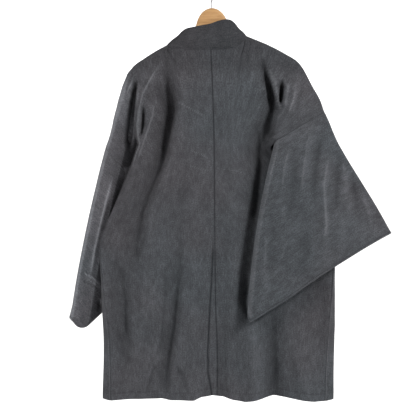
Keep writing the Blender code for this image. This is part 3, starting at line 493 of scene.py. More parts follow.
FINE_FRONT = {
    "right": (
        (4, 7, 7, ((180, -300), (160, -420), (150, -560))),
        (-5, 7, 7, ((205, -330), (182, -440), (180, -520))),
        (3.5, 9, 9, ((112, -230), (104, -420), (96, -640))),
        (-3, 9, 9, ((140, -560), (130, -780), (128, -1030))),
        (3.5, 9, 9, ((240, -600), (236, -800), (238, -1030))),
    ),
    "left": (
        (4, 7, 7, ((-130, -230), (-150, -300), (-176, -380))),
        (-4, 8, 8, ((-116, -260), (-120, -400), (-112, -560))),
        (3, 9, 9, ((-150, -560), (-160, -780), (-162, -1030))),
        (-3, 9, 9, ((-224, -640), (-222, -820), (-226, -1030))),
    ),
}
# The same on the sleeves: first on the back layer, then on the front layer
FINE_SLEEVE = {
    "right": (
        (
            (2.6, 7, 10, ((262, -360), (240, -420), (228, -500), (222, -560))),
            (-2.8, 9, 9, ((282, -380), (264, -450), (252, -530), (250, -590))),
            (3.4, 8, 8, ((300, -420), (280, -520), (284, -620), (274, -690))),
            (-2.4, 9, 9, ((318, -440), (312, -520), (306, -600))),
            (2.4, 9, 9, ((330, -450), (336, -520), (332, -580))),
            (-2.4, 9, 9, ((352, -500), (360, -560), (362, -610))),
            (2.2, 8, 8, ((376, -540), (392, -590), (400, -630))),
            (-2.6, 8, 10, ((214, -440), (202, -520), (196, -600))),
            (2.4, 7, 9, ((196, -430), (182, -480), (176, -540))),
            (1.2, 6, 6, ((190, -648), (180, -680), (172, -706))),
            (-1.4, 6, 6, ((194, -560), (188, -590), (186, -620))),
            (-2, 10, 10, ((160, -560), (150, -660), (146, -760))),
            (1.8, 9, 9, ((140, -620), (134, -720), (130, -800))),
            (-1.8, 12, 12, ((236, -620), (226, -690), (214, -750))),
            (1.8, 12, 12, ((330, -600), (318, -660), (312, -700))),
        ),
        (
            (2.4, 9, 9, ((300, -400), (310, -520), (300, -640))),
            (-2.4, 9, 9, ((340, -460), (350, -560), (345, -640))),
            (2, 9, 9, ((240, -420), (230, -560), (220, -700))),
        ),
    ),
    "left": (
        (
            (2.5, 5, 7, ((-236, -470), (-262, -560), (-290, -680), (-306, -780))),
            (-2, 6, 6, ((-222, -500), (-244, -600), (-262, -700), (-276, -780))),
            (-3, 4, 4, ((-286, -808), (-282, -825), (-280, -845))),
            (1.6, 3.5, 3.5, ((-328, -738), (-300, -752), (-270, -776))),
            (-1.6, 3, 3, ((-324, -760), (-300, -770), (-276, -786))),
        ),
        (
            (3, 10, 10, ((-380, -420), (-470, -520), (-540, -590))),
            (-3, 10, 10, ((-350, -440), (-420, -540), (-480, -640))),
            (2.6, 10, 10, ((-330, -480), (-390, -600), (-440, -690))),
            (-2.4, 10, 10, ((-300, -500), (-340, -620), (-380, -720))),
        ),
    ),
}


def fine_depth(x, z, folds):
    """Sum of fine folds, each with its own width on either side and fading towards its ends."""
    total = np.zeros(np.shape(x))
    for rise, left, right, path in folds:
        distance, place = nearest(x, z, path)
        share = place / lengths_along(path)[-1]
        fade = smooth(share / 0.25) * below(share, 1, 0.25)
        total += fade * groove(distance, np.where(distance > 0, right, left), rise)
    return total


def main_depth(side, x, z):
    """Sum of the main folds of one side of the back, swept along their stations."""
    total = np.zeros(np.shape(x))
    for softness, stations in MAIN_FOLDS[side]:
        distance, place = nearest(x, z, stations)
        rows = np.array(stations, float)
        starts = lengths_along(rows[:, :2])
        rise, left, right = (np.interp(place, starts, rows[:, k]) for k in (2, 3, 4))
        width = np.where(distance > 0, right, left)
        total += rise * np.exp(-((np.abs(distance) / width) ** softness))
    return total


def lean(before, z):
    """How far the left side stands forward along its fold, before it goes in behind the body."""
    forward = np.interp(before, (-26.0, -4.0, 38.0, 62.0), (0.0, 12.0, 14.0, 0.0))
    return forward * below(z, -262, 70)


def crumple(x, z, seed):
    """Slight unevenness of cloth that has been worn and folded: a fixed sum of slow waves, about 1 high."""
    x, z = np.broadcast_arrays(x, z)
    total = np.zeros(np.shape(x))
    for k in range(1, 7):
        a = seed * 1.7 + k * 2.399
        reach = 46.0 / (1 + 0.35 * k)
        total += np.sin((x * math.cos(a) + z * math.sin(a) * 0.45) / reach + seed * k) / (1 + 0.4 * k)
    return total / 2.4


# ---------------------------------------------------------------- shells


def grid_faces(index, closed=False):
    """Quads between neighbouring entries of a table of point numbers, closed round if asked."""
    right = np.roll(index, -1, axis=1) if closed else index[:, 1:]
    left = index if closed else index[:, :-1]
    return np.stack([left[:-1], right[:-1], right[1:], left[1:]], axis=-1).reshape(-1, 4)


def point_normals(points, faces):
    """Unit normals of the points of a mesh of quads."""
    normals = np.zeros_like(points)
    across = np.cross(points[faces[:, 2]] - points[faces[:, 0]], points[faces[:, 3]] - points[faces[:, 1]])
    for corner in range(4):
        np.add.at(normals, faces[:, corner], across)
    return unit(normals)


def worn(points, faces, normals):
    """How far each point stands out from its neighbours, as a share: ridges and edges rub pale first."""
    total, count = np.zeros_like(points), np.zeros(len(points))
    for a, b in ((0, 1), (1, 2), (2, 3), (3, 0)):
        for p, q in ((a, b), (b, a)):
            np.add.at(total, faces[:, p], points[faces[:, q]])
            np.add.at(count, faces[:, p], 1)
    out = ((points - total / count[:, None]) * normals).sum(axis=1)
    return np.clip((np.abs(out) - 0.26) / 0.5, 0.0, 1.0) * np.sign(out)


def placed(name, data):
    """A new object of the scene."""
    made = bpy.data.objects.new(name, data)
    bpy.context.scene.collection.objects.link(made)
    return made


def mesh_of(name, points, faces, uv):
    """A mesh of quads, with flat coordinates for its points."""
    mesh = bpy.data.meshes.new(name)
    mesh.vertices.add(len(points))
    mesh.vertices.foreach_set("co", points.ravel())
    mesh.loops.add(faces.size)
    mesh.loops.foreach_set("vertex_index", faces.ravel().astype(np.int32))
    mesh.polygons.add(len(faces))
    mesh.polygons.foreach_set("loop_start", np.arange(0, faces.size, 4, dtype=np.int32))
    mesh.update()
    mesh.validate()
    layer = mesh.uv_layers.new(name="UVMap")
    layer.data.foreach_set("uv", uv[faces.ravel()].astype(np.float32).ravel())
    return mesh


def shell(node, points, faces, uv, thickness, finish, upright=(), soiled=0.0, tone=1.0):
    """A thin closed wall on a middle surface, in place of a node, with the flat cloth's own coordinates, its
    wear, its dark seam lines and painted shadow, and the painted light and shade by which it is paler or
    darker than the rest of its piece. The wall ends squarely along the points numbered in upright."""
    count = len(points)
    normals = point_normals(points, faces)
    normals[np.asarray(upright, int), 0] = 0.0
    normals = unit(normals)
    half = np.broadcast_to(np.asarray(thickness, float) / 2, (count,))[:, None]
    both = np.vstack([points + normals * half, points - normals * half]) * MM
    sides = np.stack([faces, np.roll(faces, -1, axis=1)], axis=-1).reshape(-1, 2)
    _, first, times = np.unique(np.sort(sides, axis=1), axis=0, return_index=True, return_counts=True)
    a, b = sides[first[times == 1]].T
    rim = np.stack([b, a, a + count, b + count], axis=-1)
    solid = np.vstack([faces, faces[:, [0, 3, 2, 1]] + count, rim])
    mesh = mesh_of(node + "_cloth", both, solid, np.vstack([uv, uv]) * MM)
    wear = worn(points, faces, normals)
    tone_with_painted_light = np.broadcast_to(TONE_AND_PAINTED_LIGHT.get(node, 1.0) * tone, (count,))
    soil = np.broadcast_to(soiled, (count,))
    for attribute, outer, inner in (("wear", wear, -wear), ("tone_with_painted_light", tone_with_painted_light, tone_with_painted_light), ("soil", soil, soil)):
        values = mesh.attributes.new(attribute, "FLOAT", "POINT").data
        values.foreach_set("value", np.concatenate([outer, inner]).astype(np.float32))
    mesh.shade_smooth()
    mesh.set_sharp_from_angle(angle=math.radians(60))
    mesh.materials.append(finish)
    made = placed(node + "_cloth", mesh)
    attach(made, "root")
    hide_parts(node)
    return made


def grid_shell(node, grid, across, along, thickness, finish, closed=False, flipped=False, **looks):
    """A shell on one grid of points, with the flat cloth's coordinates given for its columns and its rows."""
    rows, columns = grid.shape[:2]
    faces = grid_faces(np.arange(rows * columns).reshape(rows, columns), closed)
    if flipped:
        faces = faces[:, ::-1]
    uv = stacked(across, along).reshape(-1, 2)
    return shell(node, grid.reshape(-1, 3), faces, uv, thickness, finish, **looks)


def painted_left_light(place):
    """Painted light on the left side of the back: painted paler towards its outer edge, less so and then
    painted darker where it is tucked in.
    """
    before = fold_frame("left", place)[1]
    x, z = place[..., 0], place[..., 1]
    outside = beyond_fold_edge("left", x, z) * below(z, -250, 40)
    return 1.0 + outside * (np.interp(before, (0.0, 32.0, 46.0, 60.0), (1.55, 1.45, 0.8, 0.55)) - 1.0)


# ---------------------------------------------------------------- sleeves


def closed_round(back, front):
    """Columns of the back layer, then those of the front layer the other way, without the two they share."""
    return np.concatenate([back, front[:, -2:0:-1]], axis=1)


def sleeve(side, finish):
    """One closed tube of cloth, its rows across from the armhole to the cuff."""
    armhole = [-6.0, -3.0, -0.2, SEAM_GAP, 1.5, 3.0]
    cuff = SLEEVE_LENGTH - np.array([6.5, CUFF_STITCH, 4.0, 2.5, 1.2, 0.0])
    runs = np.concatenate([armhole, np.arange(6.0, SLEEVE_LENGTH - 8.0, STEP + 0.1), cuff])
    top = np.array([0.0, 0.25, 0.8, 1.8, 3.2, 5.0, 7.5])
    middle = np.arange(10.5, SLEEVE_DEPTH - 10.5, STEP + 0.1)
    drops = np.concatenate([top, middle, SLEEVE_DEPTH - top[::-1]])
    run, drop = np.meshgrid(runs, drops, indexing="ij")
    sewn = SLEEVES[side]["armhole"]
    run = np.where(run < 0, run * below(drop, sewn + 4, 8), run)
    flat = flat_sleeve(side, run, drop)
    before = fold_frame(side, flat)[1]
    full = fullness(side, run, drop, before)
    full = np.maximum(full - UNDER * (runs[:, None] < 0), 0.3)
    place_in = smooth(drop / 22.0) * below(drop, SLEEVE_DEPTH, 22) * smooth(run / 26.0)
    near = above(before, -2, 14)
    middle_depth = swing_depth(run, drop) if side == "right" else None
    from_stitch = run - (SLEEVE_LENGTH - CUFF_STITCH)
    seam_line = groove(run, 2.2, 0.9) + groove(from_stitch, 1.0, 0.45)
    layers, tones = [], []
    for layer, folds in zip((1.0, -1.0), FINE_SLEEVE[side]):
        rise = SLEEVE_FOLD_SCALE * fine_depth(flat[..., 0], flat[..., 1], folds) * place_in
        rise = rise * (near if layer > 0 or side == "right" else 1.0 - 0.7 * near)
        # Painted light and shade: raised folds of the sleeve painted paler, sunken ones painted darker
        tone = 1.0 + PAINTED_SHADE_PER_MM * np.clip(2.2 * rise, -16.0, 9.0)
        rough = crumple(flat[..., 0], flat[..., 1], 3.0 + layer * SIGN[side]) * place_in
        room = np.where(before < 0, 0.35, 1.0)
        swell = full + (rise + rough) * room - seam_line * np.minimum(1.0, full / 4.0)
        swell = np.maximum(swell, 0.4 * np.minimum(full, 2.0))
        points = turn_over(side, flat, -layer * swell, middle_depth)
        if side == "left":
            # Painted light on the left sleeve near its fold, painted shade where it goes in behind the body
            tone = tone * np.interp(before, (-10.0, 34.0, 50.0, 66.0), (1.1, 1.1, 0.9, 0.6))
            points[..., 1] -= lean(before, points[..., 2])
        layers.append(points)
        tones.append(tone)
    along = closed_round(run, run)
    around = closed_round(drop, 2 * SLEEVE_DEPTH - drop)
    thick = CLOTH + 0.7 * above(along.ravel(), SLEEVE_LENGTH - 6, 1.5)
    stitched = groove(along.ravel() - (SLEEVE_LENGTH - CUFF_STITCH), 1.1, 0.5)
    made = grid_shell("sleeve_" + side, closed_round(*layers), along, around, thick, finish, closed=True,
                      soiled=stitched, tone=closed_round(*tones).ravel())


# ---------------------------------------------------------------- body panels


def rows_down(side, step):
    """How far each row of a panel is from the shoulder, closest together at the shoulder and the hem."""
    sewn = SLEEVES[side]["armhole"]
    near = np.array([0.0, 0.4, 1.1, 2.1, 3.5, 5.2, 7.4, 10.0, 13.0])
    count = int(round((sewn - 16.0) / step))
    over = np.linspace(16.0, sewn, count)
    rest = np.linspace(sewn, BACK_LENGTH - 8.0, int(round((BACK_LENGTH - 8.0 - sewn) / step)))[1:]
    return np.concatenate([near, over, rest, BACK_LENGTH - np.array([5.5, 3.0, 1.2, 0.0])])


def inner_rows(side, down):
    """Where each row starts at the middle of the garment, as shares of its length."""
    sewn = SLEEVES[side]["armhole"]
    lower = ROW_LEAN[side] * smooth(down / sewn) * below(down, sewn + 330, 330)
    return (down + lower) / BACK_LENGTH


# Heights, and how far the left shoulder's cloth is drawn in there: least above the end of the hanger
SHOULDER_DRAWN_IN = (
    (-420.0, -365.0, -330.0, -300.0, -272.0, -262.0, -255.0, -246.0, -240.0, -234.0, -226.0, -216.0, -205.0),
    (0.0, 2.5, 2.5, 2.0, 0.6, 1.6, 3.2, 4.8, 4.0, 1.0, -3.0, -3.0, 0.0),
)


def column_shares(top, neck_shares, over_shares):
    """Shares of a panel's top line where its columns meet it, round the neck and then over the shoulder."""
    length = lengths_along(top)
    first = length[len(top) - OVER_POINTS] / length[-1]
    return np.concatenate([np.array(neck_shares[:-1]) * first, first + (1 - first) * over_shares])


def outer_edge(side, layer, down, sewn, edge):
    """Outer end of each row of a panel: at the armhole seam, and further down on the panel's own edge."""
    outer = np.zeros((len(down), 3))
    outer[sewn] = sleeve_layer(side, -SEAM_GAP - ARMHOLE_CLEARANCE, down[sewn], layer)
    rows = down / BACK_LENGTH
    free = (rows[~sewn] - rows[sewn][-1]) / (1.0 - rows[sewn][-1])
    outer[~sewn] = spline([outer[sewn][-1], *edge], free)
    return outer


def flat_panel(side, down, sewn, share, top, inner, outer):
    """Places (x, z) of a panel's points: straight rows, but bent near the top and at the hem as those are."""
    ends = outer[:, [0, 2]].copy()
    if side == "left":
        ends[sewn] = flat_sleeve(side, np.full(sewn.sum(), -SEAM_GAP), down[sewn])
    rows = down / BACK_LENGTH
    length = lengths_along(top)
    bend = interpolate(share, length / length[-1], top) - (top[0] + (top[-1] - top[0]) * share[:, None])
    keep = np.clip(1.0 - rows / 0.30, 0.0, 1.0) ** 2
    flat = between(inner, ends, share) + keep[:, None, None] * bend[None]
    level = read_off(HEM, flat[..., 0])
    straight = level[:, :1] + (level[:, -1:] - level[:, :1]) * share[None]
    flat[..., 1] += (level - straight) * above(rows, 0.75, 0.25)[:, None]
    return flat


def panel_detail(side, layer, down, share, flat, fine):
    """How far fine folds and unevenness stand out of a panel, less its seams and stitches."""
    x, z = flat[..., 0], flat[..., 1]
    from_edge = np.linalg.norm(flat[:, -1] - flat[:, 0], axis=1)[:, None] * (1 - share)
    settle = above(down, 12, 30)[:, None] * smooth(from_edge / 14.0)
    detail = fine_depth(x, z, fine) + 1.1 * crumple(x, z, 1.0 + layer + 0.5 * (side == "left"))
    detail = detail * settle - groove(from_edge, 2.2, 0.9) * (down > 30)[:, None]
    hem_line = groove(down - (BACK_LENGTH - HEM_TURN), 1.6, 0.5) + groove(down - BACK_LENGTH, 7.0, -0.8)
    return detail - hem_line[:, None] * smooth(from_edge / 6.0)


def turned_left(layer, flat, y, sewn, outer):
    """Points of a left layer: turned over the sleeve's fold line, leaning forward there, drawn in above."""
    x, z = flat[..., 0], flat[..., 1]
    near = hang_depth(z)
    before = fold_frame("left", flat)[1]
    room = TURN_ROOM + 0.8 * np.maximum(before, 0.0)
    off = np.where(sewn[:, None], np.clip(y - near, -room - 2.4, room), y - near)
    points = stacked(x, near + off, z)
    turned = (before < 0) & sewn[:, None]
    points = np.where(turned[..., None], turn_over("left", flat, off), points)
    points[:, -1] = outer
    held = beyond_fold_edge("left", x, z) if layer > 0 else 1.0
    points[..., 1] -= lean(before, points[..., 2]) * held * above(z, -520, 40)
    at_shoulder = below(points[..., 0], -140, 50)
    points[..., 0] += np.interp(points[..., 2], *SHOULDER_DRAWN_IN) * at_shoulder
    return points


def panel_grid(side, layer, down, share, top, inner, edge, depth_at, fine):
    """One layer of a panel, from the shoulder to the hem, and the cloth's own coordinates."""
    sewn = down <= SLEEVES[side]["armhole"] + 0.01
    outer = outer_edge(side, layer, down, sewn, edge)
    flat = flat_panel(side, down, sewn, share, top, inner, outer)
    x, z = flat[..., 0], flat[..., 1]
    half = ARMHOLE_HALF + (SHOULDER_HALF - ARMHOLE_HALF) * below(share, 0.80, 0.15)
    ramp = above(down, 4, 70)[:, None]
    y = -layer * (round_off(down[:, None], half) + ramp * (depth_at(side, x, z) - half))
    edge_y = outer[:, 1]
    if side == "left":
        near = hang_depth(z)
        y = y + near * (1 - ramp)
        edge_before = fold_frame(side, flat[:, -1])[1]
        edge_full = fullness(side, 0.0, np.minimum(down, SLEEVES[side]["armhole"]), edge_before)
        edge_y = np.where(sewn, near[:, -1] - layer * edge_full, edge_y)
    to_edge = above(share, 1 - EDGE_PART, EDGE_PART)
    y = y * (1 - to_edge) + edge_y[:, None] * to_edge
    y = y - layer * panel_detail(side, layer, down, share, flat, fine)
    if side == "left":
        points = turned_left(layer, flat, y, sewn, outer)
    else:
        points = stacked(x, y, z)
        points[:, -1] = outer
    return points, stacked(share[None] * PANEL_WIDTH, -layer * down[:, None])


def body_grids(side):
    """The back and the front of one panel: points in rows from the shoulder to the hem, their flat places,
    and the columns where the centre seam and the neck end of the shoulder are."""
    over = shoulder(side, np.linspace(0, 1, OVER_POINTS))
    neck = spline([*NECK_BACK[side], (over[0, 0], 0.0, over[0, 1])], np.linspace(0, 1, 31))
    down = rows_down(side, STEP)
    seam = spline(CENTRE_SEAM, inner_rows(side, down)) + np.array([SIGN[side] * SEAM_GAP / 2, 0.0])
    neck_shares = np.concatenate([[0.0, 0.008, 0.02, 0.04], np.linspace(0.07, 1.0, 32)])
    over_shares = np.concatenate([np.linspace(0.0, 0.965, 74), [0.975, 0.984, 0.991, 0.996, 1.0]])
    top = np.vstack([neck[:-1, [0, 2]], over])
    share = column_shares(top, neck_shares, over_shares)
    back, back_uv = panel_grid(side, 1.0, down, share, top, seam, BACK_EDGE[side], back_depth,
                               FINE_BACK[side])
    count = len(neck_shares) - 1
    neck_length = lengths_along(neck[:, [0, 2]])
    stand_off = np.interp(neck_shares, neck_length / neck_length[-1], -neck[:, 1])
    for j, depth in enumerate(stand_off):
        below = SHOULDER_HALF * (1.0 - math.sqrt(max(0.0, 1.0 - min(1.0, depth / SHOULDER_HALF) ** 2)))
        least = np.maximum(depth, round_off(down + below, SHOULDER_HALF))
        back[:, j, 1] = np.minimum(back[:, j, 1], -least)
    back[..., 1] += groove(back[..., 0] - seam[:, None, 0], 1.6, 0.9)
    if side == "left":
        tucked = [back[:, 0] + np.array([across, UNDER, 0.0]) for across in SEAM_TUCK]
        back = np.concatenate([np.stack(tucked, axis=1), back], axis=1)
        tucked_uv = [back_uv[:, 0] - np.array([across, 0.0]) for across in SEAM_TUCK]
        back_uv = np.concatenate([np.stack(tucked_uv, axis=1), back_uv], axis=1)
    front_down = rows_down(side, FRONT_STEP)
    line = spline([over[0], *COLLAR_LINE[side]], inner_rows(side, front_down))
    share = column_shares(over, [], over_shares)
    front, front_uv = panel_grid(side, -1.0, front_down, share, over, line, FRONT_EDGE[side], front_depth,
                                 FINE_FRONT[side])
    first = len(SEAM_TUCK) if side == "left" else 0
    return {"back": back, "back_uv": back_uv, "front": front, "front_uv": front_uv,
            "first": first, "neck": first + count}


def body(side, grids, finish):
    """One body panel: back, over the shoulder, and front."""
    back, front = grids["back"], grids["front"]
    x, z = back[..., 0], back[..., 2]
    # Dark lines along the centre seam and the hem's stitches, and painted shadow along the pleat line
    seams_and_pleat_shadow = groove(x - back[:, grids["first"], 0][:, None], 1.3, 0.9)
    seams_and_pleat_shadow = np.maximum(seams_and_pleat_shadow, groove(np.abs(grids["back_uv"][..., 1]) - (BACK_LENGTH - HEM_TURN), 1.5, 0.4))
    narrow = fine_depth(x, z, FINE_BACK[side])
    # Painted light and shade: raised folds painted paler, deep folds and slits painted darker, the back
    # painted darker near the neck
    raised = main_depth(side, x, z) + NARROW_SHOWS * narrow
    tone = 1.0 + PAINTED_SHADE_PER_MM * np.clip(raised, -22.0, 8.0)
    tone = tone * (1.0 + SLIT_PAINTED_DARKER * np.clip(narrow + 4.0, -12.0, 0.0))
    tone = tone * (1.0 - NECK_PAINTED_DARKER * above(z, -266, 50))
    if side == "left":
        # painted shadow along the pleat line, where the fold's edge overhangs
        seams_and_pleat_shadow = np.maximum(seams_and_pleat_shadow, groove(nearest(x, z, PLEAT_LINE)[0], 2.2, 1.0) * below(z, -640, 60))
        # Painted light on the left side's outer strip, painted shade where it is tucked in
        tone = tone * painted_left_light(back[..., [0, 2]])
    rest = (front.shape[0] - 1) * front.shape[1]
    soiled = np.concatenate([seams_and_pleat_shadow.ravel(), np.zeros(rest)])
    tone = np.concatenate([tone.ravel(), np.ones(rest)])
    back_index = np.arange(x.size).reshape(x.shape)
    front_index = x.size + np.arange(rest).reshape(-1, front.shape[1])
    front_index = np.vstack([back_index[0, grids["neck"] :], front_index])
    faces = np.vstack([grid_faces(back_index), grid_faces(front_index)[:, ::-1]])
    if side == "right":
        faces = faces[:, ::-1]
    points = np.vstack([back.reshape(-1, 3), front[1:].reshape(-1, 3)])
    uv = np.vstack([grids["back_uv"].reshape(-1, 2), grids["front_uv"][1:].reshape(-1, 2)])
    thick = CLOTH + 0.8 * above(np.abs(uv[:, 1]), BACK_LENGTH - 20, 3)
    centre = back_index[:, grids["first"]]
    made = shell("body_" + side, points, faces, uv, thick, finish, centre, soiled, tone)


# ---------------------------------------------------------------- collar and gussets

# Free edge of the collar band: place, x, y, z. The place runs 0 to 1 up the left front, to 2 round the neck
# and to 3 down the right front
BAND_EDGE = (
    (0, -6, 30, -1043), (0.39, -9, 31, -703), (0.63, -20, 33, -486), (0.84, -38, 35, -306),
    (0.94, -60, 31, -214), (0.975, -76, 22, -178), (1, -85, 10, -154), (1.06, -77, -6, -146),
    (1.12, -69, -13, -139), (1.2, -58, -18, -132.5), (1.3, -42, -19.5, -129), (1.42, -22, -20, -125),
    (1.54, 0, -20, -121), (1.66, 22, -20, -113.5), (1.76, 40, -19.5, -110), (1.84, 52, -17, -112),
    (1.9, 62, -12, -119.5), (1.95, 69.5, -4, -128), (2, 76, 8, -135), (2.03, 72, 20, -150),
    (2.08, 60, 29, -182), (2.17, 40, 34, -300), (2.37, 18, 33, -484), (2.62, 8, 31, -703), (3, 5, 30, -1043),
)
GUSSET_TOP = -585.0
# How far each gusset swells beyond the panels' edges: height, distance
GUSSET_SWELL = {
    "right": ((-1043, 22), (-962, 20), (-873, 16), (-765, 8), (-700, 5), (-600, 0)),
    "left": ((-1043, 20), (-870, 12), (-760, 4), (-600, 1)),
}


def collar(grids, finish):
    """One band, folded double, sewn to both fronts and round the neck."""
    left, right = grids["left"], grids["right"]
    count = right["neck"]
    start = left["first"]
    middle = (left["back"][0, start] + right["back"][0, 0]) / 2
    neck = np.vstack([left["back"][0, left["neck"] : start : -1], [middle], right["back"][0, 1 : count + 1]])
    seam = np.vstack([left["front"][:0:-1, 0], neck, right["front"][1:, 0]])
    neck_start = len(left["front"]) - 1
    corners = [0, neck_start, neck_start + 2 * count, len(seam) - 1]
    uneven = lengths_along(seam)
    length = np.linspace(0.0, uneven[-1], int(uneven[-1] / 4.0))
    place = np.interp(length, uneven[corners], [0.0, 1.0, 2.0, 3.0])
    seam = interpolate(length, uneven, seam)
    dense = spline(BAND_EDGE, np.linspace(0, 1, 900))
    edge = interpolate(place, dense[:, 0], dense[:, 1:])
    across = unit(edge - seam)
    out = unit(np.cross(unit(np.gradient(seam, axis=0)), across))
    seam = seam + across * SEAM_GAP
    steps = np.concatenate([[0.0, 0.02, 0.05], np.linspace(0.1, 0.93, 14), [0.96, 0.985, 1.0]])
    grid = between(seam, edge, steps)
    arch = np.sin(math.pi * steps)
    roll = 1.6 * arch - groove(steps * COLLAR_WIDTH, 2.0, 0.8)
    waves = 0.5 * crumple(length[:, None], COLLAR_WIDTH * steps[None], 5.0)
    grid = grid + out[:, None] * (roll + waves * arch)[..., None]
    under = [seam - across * (SEAM_GAP + inward) - out * deeper
             for inward, deeper in ((4.5, 2.0), (1.0, 1.7))]
    grid = np.concatenate([np.stack(under, axis=1), grid], axis=1)
    steps = np.concatenate([[-0.08, -0.03], steps])
    made = grid_shell("collar", grid, COLLAR_WIDTH * steps[None], length[:, None], BAND, finish)


def gusset(side, grids, finish):
    """The narrow side piece between the back and the front, from below the armhole to the hem."""
    sign = SIGN[side]
    hem = grids["back"][-1, -1, 2]
    lowest = hem + np.array([6.0, 3.0, 1.2, 0.0])
    levels = np.concatenate([np.arange(GUSSET_TOP - 14.0, hem + 9.0, -4.0), lowest])
    edges = []
    for part in ("back", "front"):
        line = grids[part][:, -1]
        line = line[line[:, 2] < GUSSET_TOP + 20.0][::-1]
        edges.append(interpolate(levels, line[:, 2], line[:, :2]))
    shares = np.concatenate([[0.0, 0.02, 0.06], np.linspace(0.12, 0.88, 14), [0.94, 0.98, 1.0]])
    gap = CLOTH / 2 + SEAM_GAP + GUSSET_CLEARANCE
    flat = between(*edges, shares)
    waves = 0.5 * crumple(shares[None] * 60.0, levels[:, None], 7.0)
    bulge = (read_off(GUSSET_SWELL[side], levels)[:, None] + waves) * np.sin(math.pi * shares)
    x = flat[..., 0] + sign * (gap + bulge)
    grid = stacked(x, flat[..., 1], levels[:, None])
    under = [grid[:, 0] + np.array([-sign * (gap + inward), deeper, 0.0])
             for inward, deeper in ((7.0, UNDER + 0.6), (3.0, UNDER + 0.4), (0.0, UNDER))]
    grid = np.concatenate([np.stack(under, axis=1), grid], axis=1)
    shares = np.concatenate([[-0.14, -0.08, -0.04], shares])
    made = grid_shell("gusset_" + side, grid, GUSSET_WIDTH * shares[None], levels[:, None], CLOTH, finish,
                      flipped=side == "right")


# ---------------------------------------------------------------- materials


class Graph:
    """The nodes of a new material."""

    def __init__(self, name):
        self.material = bpy.data.materials.new(name)
        self.material.use_nodes = True
        self.nodes = self.material.node_tree.nodes

    def feed(self, socket, value):
        """Link a socket to an output, or set it to a number or a colour."""
        if hasattr(value, "is_output"):
            self.material.node_tree.links.new(value, socket)
        else:
            socket.default_value = (*value, 1.0) if socket.type == "RGBA" else value

    def finish(self, values):
        """Feed the shader's sockets, by name, and give the material."""
        for name, value in values.items():
            self.feed(self.nodes["Principled BSDF"].inputs[name], value)
        return self.material

    def add(self, kind, **values):
        """A new node, its sockets fed by name."""
        made = self.nodes.new("ShaderNode" + kind)
        for name, value in values.items():
            self.feed(made.inputs[name], value)
        return made

    def attribute(self, name):
        made = self.add("Attribute")
        made.attribute_name = name
        return made.outputs["Fac"]

    def noise(self, vector, scale=1.0, detail=2.0, stretch=(1.0, 1.0, 1.0)):
        stretched = self.add("Mapping", Vector=vector, Scale=stretch).outputs["Vector"]
        return self.add("TexNoise", Vector=stretched, Scale=scale, Detail=detail).outputs["Fac"]

    def bands(self, vector, direction, scale):
        made = self.add("TexWave", Vector=vector, Scale=scale, Distortion=1.0)
        made.bands_direction = direction
        return made.outputs["Fac"]

    def ramp(self, value, *stops):
        """Colours for a value, between stops of a place and a colour."""
        made = self.add("ValToRGB", Fac=value)
        elements = made.color_ramp.elements
        while len(elements) < len(stops):
            elements.new(0.5)
        for element, (place, colour) in zip(elements, stops):
            element.position = place
            element.color = (*colour, 1.0)
        return made.outputs["Color"]

    def mix(self, kind, factor, a, b):
        made = self.add("Mix")
        made.data_type = "RGBA"
        made.blend_type = kind
        for socket, value in ((made.inputs["Factor"], factor), (made.inputs[6], a), (made.inputs[7], b)):
            self.feed(socket, value)
        return made.outputs[2]

    def maths(self, kind, *values, node="Math", clamp=False):
        made = self.add(node)
        made.operation = kind
        if clamp:
            made.use_clamp = True
        for socket, value in zip(made.inputs, values):
            self.feed(socket, value)
        return made.outputs[0]

    def bump(self, height, strength, distance):
        return self.add("Bump", Height=height, Strength=strength, Distance=distance).outputs["Normal"]


SLUB_COLOURS = ((0.30, (0.049, 0.050, 0.053)), (0.52, (0.060, 0.061, 0.065)), (0.74, (0.076, 0.077, 0.082)))
# Unevenness laid over the cloth's colour, finest first: how close together across and along the piece,
# detail, strength, and two places on the noise with their greys
CLOTH_LAYERS = {
    "threads": (1300.0, 300.0, 2.0, 0.45, (0.3, 0.30), (0.7, 0.70)),
    "weft": (140.0, 800.0, 2.0, 0.22, (0.3, 0.38), (0.7, 0.62)),
    "mottle": (360.0, 330.0, 4.0, 0.80, (0.34, 0.34), (0.68, 0.68)),
    "blots": (75.0, 50.0, 3.0, 0.32, (0.35, 0.32), (0.65, 0.68)),
    "patches": (22.0, 14.0, 2.0, 0.30, (0.35, 0.34), (0.65, 0.66)),
}
BEECH_COLOURS = ((0.32, (0.38, 0.212, 0.090)), (0.55, (0.47, 0.272, 0.120)), (0.75, (0.53, 0.325, 0.150)))


